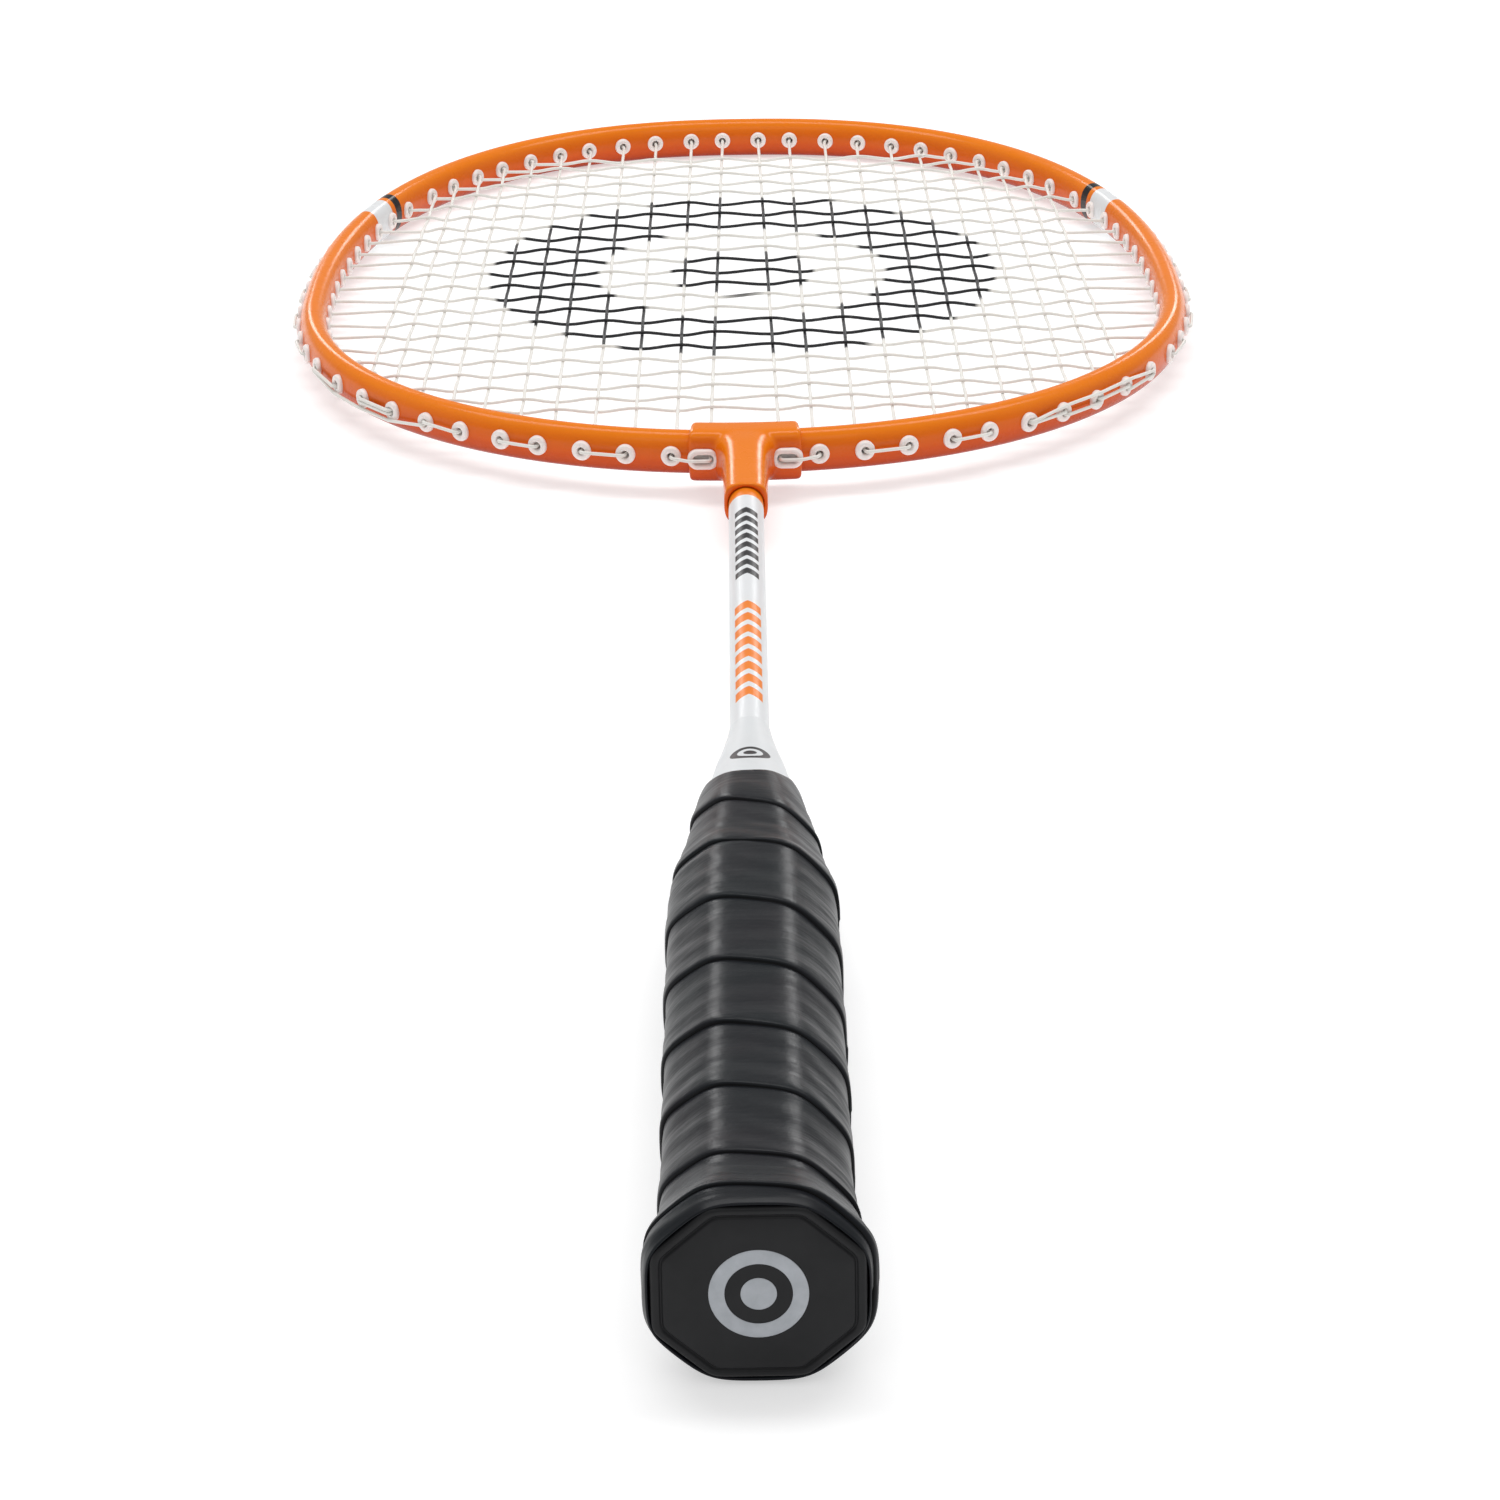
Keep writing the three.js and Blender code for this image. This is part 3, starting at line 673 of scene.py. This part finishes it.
def hoop():
    steps, sides, half_gap = 420, 36, 0.5
    gap = math.atan2(half_gap, THROAT["length"])
    angles = np.linspace(-math.pi / 2 + gap, 1.5 * math.pi - gap, steps + 1)
    spots = [spot_at_angle(a) for a in angles]
    outer = tube_rings(spots, TUBE["depth"], TUBE["height"], sides)
    inner = tube_rings(spots, TUBE["depth"] - TUBE["wall"], TUBE["height"] - TUBE["wall"], sides)
    whole = loft([*outer, *inner[::-1]], loop=True)
    piece = make_object("hoop_tube", *whole)
    smooth = make_object("smooth_tube", *whole)
    cutters = []
    for side in (-1, 1):
        cutters += [hole_cutter(spot) for spot in side_holes(side)]
        cutters.append(slot_cutter(side))
    cut_or_join(piece, cutters)
    piece.data.shade_smooth()
    # The cut tube takes its shading from the whole one, so that no edge shows round a hole.
    apply_modifier(
        piece, "DATA_TRANSFER", object=smooth, use_loop_data=True,
        data_types_loops={"CUSTOM_NORMAL"}, loop_mapping="POLYINTERP_NEAREST",
    )
    bpy.data.objects.remove(smooth)
    finish_piece(piece, hoop_lacquer(), "hoop_paint", "hoop")


SLEEVE = {"half_length": 11.6, "depth": 4.5, "height": 5.75, "power": 4.5}
STEM_FOOT_Y, STEM_POWER = 315, 3.2
# Y, half width and half height of the stem, which swells into the sleeve.
STEM = smooth_curve([
    (STEM_FOOT_Y, 4.55, 4.6), (318, 4.55, 4.65), (326, 4.65, 4.95), (333, 4.85, 5.3), (338.5, 5.3, 5.6),
    (342, 6.6, 5.65), (344.5, 9.2, 5.65),
], 4)
SHAFT_BORE = {"radius": 3.72, "top_y": 338.5}
TUBE_PLAY = 0.1  # between the hoop and the T-joint's sleeve
END_STEP = 0.55  # between the rings that round off a sweep's ends


def throat_sweep(half_length, half_depth, half_height, power, ends=(1.0,)):
    """A bar along the throat of the hoop, drawn in at its ends by the given shares."""
    steps = [(half_length - END_STEP * (len(ends) - 1 - i), share) for i, share in enumerate(ends)]
    inner = [(x, 1.0) for x in np.linspace(-half_length + 1.5, half_length - 1.5, 13)]
    places = [(-x, share) for x, share in steps[::-1]] + inner + steps
    rings = []
    for x, share in places:
        outline = superellipse(half_depth * share, half_height * share, power, 48)
        rings.append(spot_at_x(x, THROAT).ring(outline))
    return loft(rings)


def soften(piece, voxel, iterations):
    """Remeshes the piece evenly and rounds its edges, as a mould does."""
    apply_modifier(piece, "REMESH", mode="VOXEL", voxel_size=voxel * MM)
    apply_modifier(piece, "SMOOTH", factor=0.5, iterations=iterations)


def t_joint():
    sleeve = throat_sweep(*SLEEVE.values(), (1.0, 0.93))
    piece = make_object("t_joint_moulding", *sleeve)
    stem = []
    for y, wide, high in STEM:
        outline = superellipse(wide, high, STEM_POWER, 48)
        stem.append([(x, y, z) for x, z in outline])
    cut_or_join(piece, [loft(stem)], "UNION")
    soften(piece, 0.3, 14)
    tunnel = throat_sweep(
        SLEEVE["half_length"] + 3, TUBE["depth"] + TUBE_PLAY, TUBE["height"] + TUBE_PLAY, TUBE["power"]
    )
    ends = [(SHAFT_BORE["radius"], STEM_FOOT_Y - 5), (SHAFT_BORE["radius"], SHAFT_BORE["top_y"])]
    for tool in (tunnel, turned(ends, 48, loop=False), slot_cutter(-1), slot_cutter(1)):
        cut_or_join(piece, [tool])
    soften(piece, 0.26, 3)
    piece.data.shade_smooth()
    finish_piece(piece, joint_lacquer(), "joint_gloss", "t_joint")


def grommet_pairs(material):
    left, right = side_holes(-1), side_holes(1)
    pairs = [("tip", left[0], right[0])]
    for name, holes in (("left", left), ("right", right)):
        for number, (a, b) in enumerate(zip(holes[1::2], holes[2::2]), 1):
            pairs.append((f"{name}_{number:02d}", a, b))
    for name, a, b in pairs:
        piece = make_object("grommets_" + name, *joined([grommet(a), grommet(b), runner(a, b)]))
        finish_piece(piece, material, "grommet_plastic", "grommet_pair_" + name)


def slot_grommets(material):
    mouth, back = SLOT_SEAT_Y - SLOT_MOUTH_Y, SLOT_BACK_Y - SLOT_SEAT_Y
    bore, barrel, flange = SLOT["bore"], SLOT["barrel"], SLOT["flange"]
    profile = [
        (bore, -back), (bore, mouth - 0.4), (bore + 0.14, mouth - 0.12), (bore + 0.36, mouth),
        (flange - 0.45, mouth - 0.02), (flange - 0.12, mouth - 0.2), (flange, mouth - 0.55), (flange, -0.1),
        (barrel, -0.3), (barrel, -back),
    ]
    out, tangent = np.array([0.0, -1.0, 0.0]), np.array([1.0, 0.0, 0.0])
    for name, side in (("left", -1), ("right", 1)):
        centre = np.array([side * SLOT["x"], SLOT_SEAT_Y, 0.0])
        ring = plug(centre, out, tangent, profile, SLOT["straight"], 40)
        piece = make_object("slot_grommet_ring_" + name, *ring)
        finish_piece(piece, material, "grommet_plastic", "slot_grommet_" + name)


def grommets():
    material = grommet_plastic()
    grommet_pairs(material)
    slot_grommets(material)


# ---- strings ---------------------------------------------------------------

STRING_RADIUS = 0.385
MAIN_LIFT = 0.34  # a main passes this far over or under the plane of the strings, and a cross the rest
CROSS_LIFT = 2 * STRING_RADIUS - MAIN_LIFT
SHARED_Z = 0.4  # two strings that share a hole lie this far from its middle
TAIL_Z = 1.9  # a loose end lies this far from the middle of the hoop's outside
CORNER_RADIUS = 0.9  # where a string bends round a grommet
NEAREST_CROSSING = 2.5  # strings that would cross nearer than this to a hole don't weave


def woven(start, end, crossings, steps=5):
    """Points from start to end through the crossings, easing up and down between them."""
    knots = [np.asarray(p, float) for p in (start, *crossings, end)]
    out = []
    for a, b in zip(knots, knots[1:]):
        for t in np.arange(steps) / steps:
            point = a + (b - a) * t
            point[2] = a[2] + (b[2] - a[2]) * (1 - math.cos(math.pi * t)) / 2
            out.append(point)
    return [*out, knots[-1]]


def main_ends(side, main):
    """The inner bends of a main: at the tip and at the throat."""
    tip_z = SHARED_Z if main >= MAINS - TIP_SHARED else 0.0
    throat_z = SHARED_Z if main >= MAINS - THROAT_SHARED else 0.0
    tip = main_hole(side, main, TIP)
    if main == 0:
        return tip, tip_z, np.array([side * THROAT_MAIN_X[0], SLOT_BACK_Y + 0.5, 0.0]), throat_z
    throat = main_hole(side, main, THROAT)
    return tip, tip_z, throat.at(-INNER_BEND, throat_z), throat_z


def main_over(side, main, cross):
    """Whether a main passes over a cross: every other one, counted across the whole bed."""
    column = main if side > 0 else -1 - main
    return (column + cross) % 2 == 0


def main_run(side, main):
    """A main from its inner bend at the tip to its inner bend at the throat."""
    tip, tip_z, throat, _ = main_ends(side, main)
    start = tip.at(-INNER_BEND, tip_z)
    crossings = []
    for cross, y in enumerate(CROSS_Y):
        share = (start[1] - y) / (start[1] - throat[1])
        x = start[0] + (throat[0] - start[0]) * share
        room = min(start[1] - y, y - throat[1])
        if room > NEAREST_CROSSING and abs(x) < abs(cross_hole(side, cross).at(-INNER_BEND)[0]):
            crossings.append((x, y, MAIN_LIFT if main_over(side, main, cross) else -MAIN_LIFT))
    return woven(start, throat, crossings)


def cross_run(cross, side):
    """A cross from its inner bend at one side to the other."""
    hole_z = -SHARED_Z if cross < TIP_SHARED or cross >= CROSSES - THROAT_SHARED else 0.0
    start = cross_hole(side, cross).at(-INNER_BEND, hole_z)
    end = cross_hole(-side, cross).at(-INNER_BEND, hole_z)
    crossings = []
    for s in (-1, 1):
        for main in range(MAINS):
            tip, _, throat, _ = main_ends(s, main)
            top = tip.at(-INNER_BEND)
            share = (top[1] - CROSS_Y[cross]) / (top[1] - throat[1])
            x = top[0] + (throat[0] - top[0]) * share
            if 0 < share < 1 and abs(x) < abs(start[0]) - NEAREST_CROSSING:
                z = -CROSS_LIFT if main_over(s, main, cross) else CROSS_LIFT
                crossings.append((x, CROSS_Y[cross], z))
    crossings.sort(key=lambda p: -side * p[0])
    return woven(start, end, crossings)


def tail(spots, z):
    """A loose end led over the outside of the hoop past some grommets, and in through the last hole."""
    passed = [spot.at(OUTER_BEND - 0.1, z) for spot in spots[:-1]]
    last = spots[-1]
    inside = math.copysign(SHARED_Z, z)
    return [*passed, last.at(OUTER_BEND, inside), last.at(-INNER_BEND - 1.0, inside)]


def main_half(side):
    """Half of the main string, from its loose end to the tip of the innermost main.

    The right end is led past three holes and in through a fourth; the left one is tied inside its own.
    """
    path = []
    if side > 0:
        path = tail([main_hole(side, main, THROAT) for main in (9, 8, 7, 6)], TAIL_Z)[::-1]
    for main in range(MAINS - 1, -1, -1):
        tip, tip_z, _, throat_z = main_ends(side, main)
        if side < 0 and main == MAINS - 1:
            throat_out = []
        elif main > 0:
            throat_out = [main_hole(side, main, THROAT).at(OUTER_BEND, throat_z)]
        else:
            y = SLOT_MOUTH_Y - 0.42
            far_x = SLOT["x"] + SLOT["straight"] + 1.9
            throat_out = [(side * THROAT_MAIN_X[0], y, 0), (side * far_x, y, 0)]
        down = [tip.at(OUTER_BEND, tip_z), *main_run(side, main), *throat_out]
        path += down[::-1] if (MAINS - 1 - main) % 2 == 0 else down
    return path


def knot(centre, size=0.95):
    """A small pulled-tight knot."""
    t = circle(60)
    x = np.sin(t) + 2 * np.sin(2 * t)
    y = np.cos(t) - 2 * np.cos(2 * t)
    curve = np.stack([x, y, -1.1 * np.sin(3 * t)], axis=1)
    return cord(centre + curve * size / 2.2, STRING_RADIUS, loop=True)


def main_strings(material):
    path = [*main_half(-1), *main_half(1)[::-1]]
    knots = [
        knot(main_hole(1, 6, THROAT).at(-INNER_BEND - 1.3, 0.5)),
        knot(main_hole(-1, MAINS - 1, THROAT).at(-INNER_BEND - 0.4, SHARED_Z + 0.1)),
    ]
    piece = make_object("mains", *joined([cord(rounded(path, CORNER_RADIUS), STRING_RADIUS), *knots]))
    finish_piece(piece, material, "string", "main_strings")


def cross_strings(material):
    """The cross string, tied outside the hoop near the tip and led past three holes near the throat."""
    start = main_hole(1, 5, TIP)
    path = [start.at(OUTER_BEND - 0.1, -SHARED_Z)]
    for cross in range(CROSSES):
        side = 1 if cross % 2 == 0 else -1
        run = cross_run(cross, side)
        z = run[0][2]
        path += [cross_hole(side, cross).at(OUTER_BEND, z), *run, cross_hole(-side, cross).at(OUTER_BEND, z)]
    last = tail([cross_hole(-1, CROSSES - 1 - back) for back in (1, 2, 3, 4)], -TAIL_Z)
    path += last
    knots = [knot(start.at(OUTER_BEND + 0.15, -SHARED_Z), 0.8), knot(last[-1] + np.array([0.4, 0, -0.2]))]
    piece = make_object("crosses", *joined([cord(rounded(path, CORNER_RADIUS), STRING_RADIUS), *knots]))
    finish_piece(piece, material, "string", "cross_strings")


def strings():
    material = string_nylon()
    main_strings(material)
    cross_strings(material)


# ---- shaft, cone and handle ------------------------------------------------

SHAFT = {"radius": 3.6, "wall": 0.5}
shaft_low, shaft_high = node_box("shaft")
cone_low, cone_high = node_box("cone")


def shaft():
    radius, inside = SHAFT["radius"], SHAFT["radius"] - SHAFT["wall"]
    low, high = shaft_low[1], shaft_high[1]
    outside = [(radius - 0.1, low), (radius, low + 0.1)]
    outside += [(radius, y) for y in np.arange(low + 10, high - 5, 10)]
    outside += [(radius, high - 0.1), (radius - 0.1, high)]
    piece = make_object("shaft_tube", *turned([*outside, (inside, high), (inside, low)], 64))
    finish_piece(piece, shaft_lacquer(), "shaft_paint", "shaft")


def cone():
    foot, top = cone_low[1], cone_high[1]
    outside = smooth_curve([
        (9.4, foot), (9.2, foot + 5), (8.7, foot + 11), (7.9, foot + 16), (7.1, foot + 21),
        (6.4, foot + 26.3), (5.5, foot + 31.6), (4.7, foot + 37), (4.12, foot + 41.5), (3.9, top - 0.7),
    ], 6)
    lip = [(3.86, top - 0.3), (3.8, top - 0.08), (3.73, top), (3.67, top - 0.12)]
    bore_radius = SHAFT["radius"] + 0.06
    bore = [(bore_radius, top - 2), (bore_radius, foot + 2), (bore_radius, foot)]
    piece = make_object("cone_moulding", *turned([*map(tuple, outside), *lip, *bore], 80))
    finish_piece(piece, cone_plastic(), "cone_gloss", "cone")


FLATNESS, CORNER = 0.9, 0.45  # height over width of the handle, and half a flat over half a side
GRIP_SHARPNESS = 14.0  # of the corners of the wound handle


def octagon_reach(angle, flatness, sharpness):
    """Distance from the axis to a rounded octagon whose half width is 1."""
    slant = np.arctan2(1.0, flatness)
    slant_distance = (1 + CORNER) * flatness / np.sqrt(1 + flatness**2)
    total = 0
    for turn in (0, np.pi):
        total = total + np.maximum(0, np.cos(angle - turn)) ** sharpness
        total = total + np.maximum(0, np.cos(angle - turn - np.pi / 2) / flatness) ** sharpness
        for facing in (slant, np.pi - slant):
            total = total + np.maximum(0, np.cos(angle - turn - facing) / slant_distance) ** sharpness
    return total ** (-1 / sharpness)


def blend(value, low, high):
    """0 below low, 1 above high, and smooth between."""
    t = np.clip((value - low) / (high - low), 0, 1)
    return t * t * (3 - 2 * t)


# Height and half width of the wrap, outside and inside.
GRIP_OUTSIDE = smooth_curve([
    (0.6, 16.2), (2.5, 16.7), (5, 16.8), (8, 16.1), (12, 15.2), (16, 14.6), (21, 14.35), (31, 14.2),
    (78, 14.15), (120, 14.05), (127, 13.45), (133, 12.75), (139, 11.95), (146, 11.05), (152, 10.35),
    (158, 9.75), (163, 9.2), (166, 8.65), (168, 8.25), (171, 7.75), (174, 7.35), (182, 6.8),
])
GRIP_INSIDE = smooth_curve([
    (0.6, 15.85), (5, 15.75), (8, 15.2), (12, 14.4), (14.5, 13.5), (18, 13.15), (31, 13.0), (115, 13.0),
    (127, 12.5), (139, 11.0), (152, 9.55), (158, 9.3), (163, 8.85), (168, 7.95), (174, 7.1), (182, 6.4),
])
GRIP_FOOT_Y = 0.6
# Heights of the seam where it crosses the middle of the top face, turn by turn.
SEAM_TURNS = np.arange(-3, 10)
SEAM_HEIGHTS = [-24, -6, 4.5, 17.5, 38.6, 58.8, 80.3, 102.7, 125.7, 145.6, 178, 196, 214]
SEAMS = smooth_curve(np.stack([SEAM_HEIGHTS, SEAM_TURNS], axis=1))
BAND = 21.1  # nominal width between seams
# Height of the band's skin by distance above the seam: a soft lip that sinks towards the next seam.
LAP = [
    (0, -0.2), (0.07, 0.08), (0.2, 0.34), (0.45, 0.46), (1.1, 0.5), (3, 0.43), (6, 0.28), (10, 0.13),
    (15, 0.04), (19.5, 0), (20.5, -0.02), (20.95, -0.07), (BAND, -0.2),
]


def handle_radius(angle, y, half):
    """Reach of the handle's outline: a flattened octagon that grows rounder towards the cone."""
    flatness = FLATNESS + (1 - FLATNESS) * np.clip((y - 135) / 18, 0, 1)
    sharpness = GRIP_SHARPNESS - 5 * blend(y, 138, 168)
    return half * octagon_reach(angle, flatness, sharpness)


def grip_skin(angle, turn, y):
    """Reach of the wound band, and how deep in a seam each point is."""
    half = np.interp(y, GRIP_OUTSIDE[:, 0], GRIP_OUTSIDE[:, 1])
    wound = np.interp(y, SEAMS[:, 0], SEAMS[:, 1]) - turn
    count = np.floor(wound + 1e-6)
    above = np.clip(wound - count, 0, 1) * BAND
    lap = np.interp(above, [d for d, _ in LAP], [h for _, h in LAP])
    # Puckers on the right flank, where the band was pulled round.
    flank = blend(np.cos(angle + 0.35), 0.35, 0.95)
    phase = 2.6 * np.sin(1.7 * count) + 1.3 * np.sin(3 * angle + count)
    pucker = np.sin(above * 2.7 + phase) * np.exp(-(((above - 6 - 3 * np.sin(2.3 * count)) / 5) ** 2))
    lap = lap + 0.13 * flank * pucker
    lap = lap + 0.06 * np.sin(above * 0.9 + 2 * np.sin(2 * angle + 1.3 * count))
    lap = lap * blend(y, -2, 3)
    # How far down a seam each point lies; the grip's material paints shade there.
    crease = np.maximum(1 - above / 0.22, 1 - (BAND - above) / 0.3)
    return handle_radius(angle, y, half) + lap, np.clip(crease, 0, 1)


def wrap_edge(angle):
    """Height of the wrap's upper edge, which dips over the top face and is cut level underneath."""
    dip = 0.5 * np.cos(angle) - 13.4 * np.sin(angle) - 1.3 * np.cos(2 * angle)
    return np.minimum(172.8 + dip, 172)


def weld(piece):
    """Merges points that coincide, drops loose ones, and turns all faces out."""
    made = bmesh.new()
    made.from_mesh(piece.data)
    bmesh.ops.remove_doubles(made, verts=made.verts, dist=0.002 * MM)
    bmesh.ops.delete(made, geom=[v for v in made.verts if not v.link_faces], context="VERTS")
    bmesh.ops.recalc_face_normals(made, faces=made.faces)
    made.to_mesh(piece.data)
    made.free()
    piece.data.shade_smooth()


def grip_columns(columns):
    """Angles at even steps of the octagon's outline, and the share of a turn from the top face to each."""
    fine = np.linspace(0, 2 * np.pi, 2001)
    outline = around(fine, octagon_reach(fine, FLATNESS, GRIP_SHARPNESS), 0 * fine)
    lengths = np.concatenate([[0], np.cumsum(np.linalg.norm(np.diff(outline, axis=0), axis=1))])
    shares = lengths / lengths[-1]
    even = np.arange(columns) / columns
    return np.interp(even, shares, fine), even - np.interp(np.pi / 2, fine, shares)


def band_skin(angle, turn, top):
    """Points, faces and seam depth of the wound band: its rows follow the seam's helix."""
    columns = len(angle)
    lip, flap = [d for d, _ in LAP[:5]], [d for d, _ in LAP[-3:-1]]
    steps = np.array([*lip, *np.arange(1.8, 20.2, 0.75), *flap]) / BAND
    rows = np.concatenate([t + steps for t in range(-2, 10)])
    y = np.interp(rows[:, None] + turn[None, :], SEAMS[:, 1], SEAMS[:, 0])
    y = np.clip(y, GRIP_FOOT_Y, top)
    radius, crease = grip_skin(angle[None, :], turn[None, :], y)
    points = around(angle[None, :] + 0 * y, radius, y).reshape(-1, 3)
    row_count, per_turn = len(rows), len(steps)
    height = points[:, 1]
    faces = []
    for row in range(row_count - 1):
        for column in range(columns):
            a = row * columns + column
            if column < columns - 1:
                b = a + 1
            elif row + per_turn + 1 < row_count:
                b = (row + per_turn) * columns  # after a full turn the row goes on as one further up
            else:
                continue
            c, d = b + columns, a + columns
            # Quads beyond the wrap's ends have been pressed flat onto its edges.
            pressed_flat = height[a] == height[d] and height[b] == height[c]
            if np.ptp(height[[a, b, c, d]]) > 1e-9 and not pressed_flat:
                faces.append([a, b, c, d])
    return points, faces, crease.ravel()


def band_lining(angle, turn, top):
    """Points and faces of the wrap's edge at both ends and of its inside."""
    columns = len(angle)
    foot = np.full(columns, GRIP_FOOT_Y)
    foot_radius, _ = grip_skin(angle, turn, foot)
    top_radius, _ = grip_skin(angle, turn, top)
    # How far each loop of an edge stands above the end of the skin, and within it.
    loops = [(foot + rise, foot_radius - within) for rise, within in ((0, 0), (-0.22, 0.12), (-0.25, 0.3))]
    for share in np.concatenate([[0], np.linspace(0.02, 0.98, 24), [1]]):
        y = foot + (top - foot) * share
        half = np.interp(y, GRIP_INSIDE[:, 0], GRIP_INSIDE[:, 1])
        loops.append((y, handle_radius(angle, y, half)))
    edge = ((0.35, 0.75), (0.42, 0.4), (0.25, 0.12), (0, 0))
    loops += [(top + rise, top_radius - within) for rise, within in edge]
    faces = []
    for band in range(len(loops) - 1):
        for i in range(columns):
            a, b = band * columns + i, band * columns + (i + 1) % columns
            faces.append([b, a, a + columns, b + columns])
    return np.concatenate([around(angle, radius, y) for y, radius in loops]), faces


def grip():
    angle, turn = grip_columns(200)
    top = wrap_edge(angle)
    points, faces, crease = band_skin(angle, turn, top)
    lining = band_lining(angle, turn, top)
    piece = make_object("grip_band", *joined([(points, faces), lining]))
    attribute = piece.data.attributes.new("crease", "FLOAT", "POINT")
    attribute.data.foreach_set("value", np.append(crease, np.zeros(len(lining[0]))).astype(np.float32))
    weld(piece)
    finish_piece(piece, grip_leather(), "grip_leather", "grip_wrap")


# Half width, y and sharpness of the corners, from the middle of the cap's floor out and round to its panel.
CAP_INSIDE = [(0.5, 3.3, 12), (12.9, 3.3, 30), (13.05, 3.5, 30), (13.05, 14.0, 30)]
CAP_SKIRT = [
    (13.2, 14.2, 26), (13.5, 13.9, 26), (14.2, 12.6, 26), (14.75, 11, 26), (15.2, 8.5, 26), (15.5, 6, 28),
]
CAP_RIM = [
    (15.6, 2.5, 30), (15.6, 1.0, 32), (15.54, 0.5, 34), (15.38, 0.2, 34), (15.15, 0.05, 36), (14.85, 0, 38),
]
CAP_GROOVE = [
    (14.5, 0, 40), (14.3, 0.08, 42), (14.16, 0.3, 44), (14.0, 0.42, 46), (13.84, 0.3, 48), (13.7, 0.08, 50),
]
CAP_PANEL = [(13.5, 0, 54), (10, 0, 40), (5, 0, 20), (0.5, 0, 12)]


def butt_cap():
    angle = circle(160, 0.5)
    rings = []
    for half, y, sharpness in CAP_INSIDE + CAP_SKIRT + CAP_RIM + CAP_GROOVE + CAP_PANEL:
        reach = half * octagon_reach(angle, FLATNESS, float(sharpness))
        rings.append(around(angle, reach, np.full(len(angle), y)))
    piece = make_object("butt_cap_moulding", *loft(rings))
    finish_piece(piece, cap_plastic(), "cap_plastic", "butt_cap")
    silver = silver_print()
    for name, outer, inner in (("ring", 7.2, 4.9), ("dot", 2.6, 0.0)):
        mark = make_object("cap_mark_" + name, *print_disc(outer, inner))
        finish_piece(mark, silver, "cap_plastic")


def print_disc(outer, inner):
    """A thin disc or ring of print on the end of the cap."""
    front, back, edge, bevel = -0.05, 0.03, 0.06, 0.02
    profile = [(outer, back), (outer, front + bevel), (outer - edge, front)]
    if inner:
        profile += [(inner + edge, front), (inner, front + bevel), (inner, back)]
    return turned(profile, 96, loop=bool(inner))


def hidden_nodes():
    """The pieces inside keep their CAD shape and get their own materials."""
    steel, wood = bare_steel(), handle_wood()
    for node, material, slot in (
        ("hoop_joint_pin", steel, "bare_steel"), ("cap_tack_left", steel, "bare_steel"),
        ("cap_tack_right", steel, "bare_steel"), ("handle_core", wood, "handle_wood"),
    ):
        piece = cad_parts[node]
        piece.data.materials.clear()
        piece.data.materials.append(material)


# ---- studio ----------------------------------------------------------------

# The racket rests on its grip's bulge and on the tip of the hoop: y and z of each place.
REST_BUTT = (6.0, -15.55)
REST_TIP = (582.0, -4.8)


def floor():
    slope = (REST_TIP[1] - REST_BUTT[1]) / (REST_TIP[0] - REST_BUTT[0])
    reach = 12000
    square = ((-reach, -reach), (reach, -reach), (reach, reach), (-reach, reach))
    corners = [(x, y, REST_BUTT[1] + slope * (y - REST_BUTT[0])) for x, y in square]
    piece = make_object("floor", corners, [[0, 1, 2, 3]], smooth=False)
    piece.data.materials.append(pale_floor())


def area_light(name, at, aim, size, power):
    """A soft panel, placed and sized in metres."""
    light = bpy.data.lights.new(name, "AREA")
    light.shape = "RECTANGLE"
    light.size, light.size_y = size
    light.energy = power
    made = bpy.data.objects.new(name, light)
    made.location = at
    made.rotation_mode = "QUATERNION"
    made.rotation_quaternion = (Vector(aim) - Vector(at)).to_track_quat("-Z", "Y")
    bpy.context.scene.collection.objects.link(made)


def studio():
    world = bpy.data.worlds.new("studio")
    world.use_nodes = True
    background = world.node_tree.nodes["Background"]
    background.inputs["Color"].default_value = (1, 1, 1, 1)
    background.inputs["Strength"].default_value = 0.42
    bpy.context.scene.world = world
    racket = (0, 0.3, 0)
    area_light("overhead", (0, 0.62, 1.5), racket, (2.4, 0.5), 19)
    area_light("front", (0, -1.2, 1.5), racket, (1.8, 0.8), 3.5)
    for side in (-1, 1):
        area_light(f"side_{side}", (1.5 * side, 0.3, 0.9), racket, (1.2, 2.2), 1.6)
        area_light(f"far_{side}", (0.62 * side, 2.1, 0.75), (0, 0.1, 0), (0.3, 0.6), 3.6)
    bpy.context.scene.view_settings.view_transform = "Standard"


# The camera's place in metres, how far it looks down and is tipped, in radians, and its focal length.
CAMERA = {"at": (0.0, -0.560, 0.3343), "pitch": 0.419, "roll": -0.016, "focal": 109}


def camera():
    """Low behind the butt, looking along the racket through a long lens."""
    lens = bpy.data.cameras.new("camera")
    lens.sensor_width = 36
    lens.lens = CAMERA["focal"]
    lens.clip_start, lens.clip_end = 0.01, 50
    pitch, roll = CAMERA["pitch"], CAMERA["roll"]
    forward = Vector((0, math.cos(pitch), -math.sin(pitch)))
    right = Vector((1, 0, 0))
    up = right.cross(forward)
    across = right * math.cos(roll) + up * math.sin(roll)
    above = up * math.cos(roll) - right * math.sin(roll)
    made = bpy.data.objects.new("camera", lens)
    rotation = Matrix((across, above, -forward)).transposed()
    made.matrix_world = Matrix.Translation(Vector(CAMERA["at"])) @ rotation.to_4x4()
    bpy.context.scene.collection.objects.link(made)
    bpy.context.scene.camera = made


camera()
studio()
floor()
hoop()
t_joint()
grommets()
strings()
shaft()
cone()
grip()
butt_cap()
hidden_nodes()
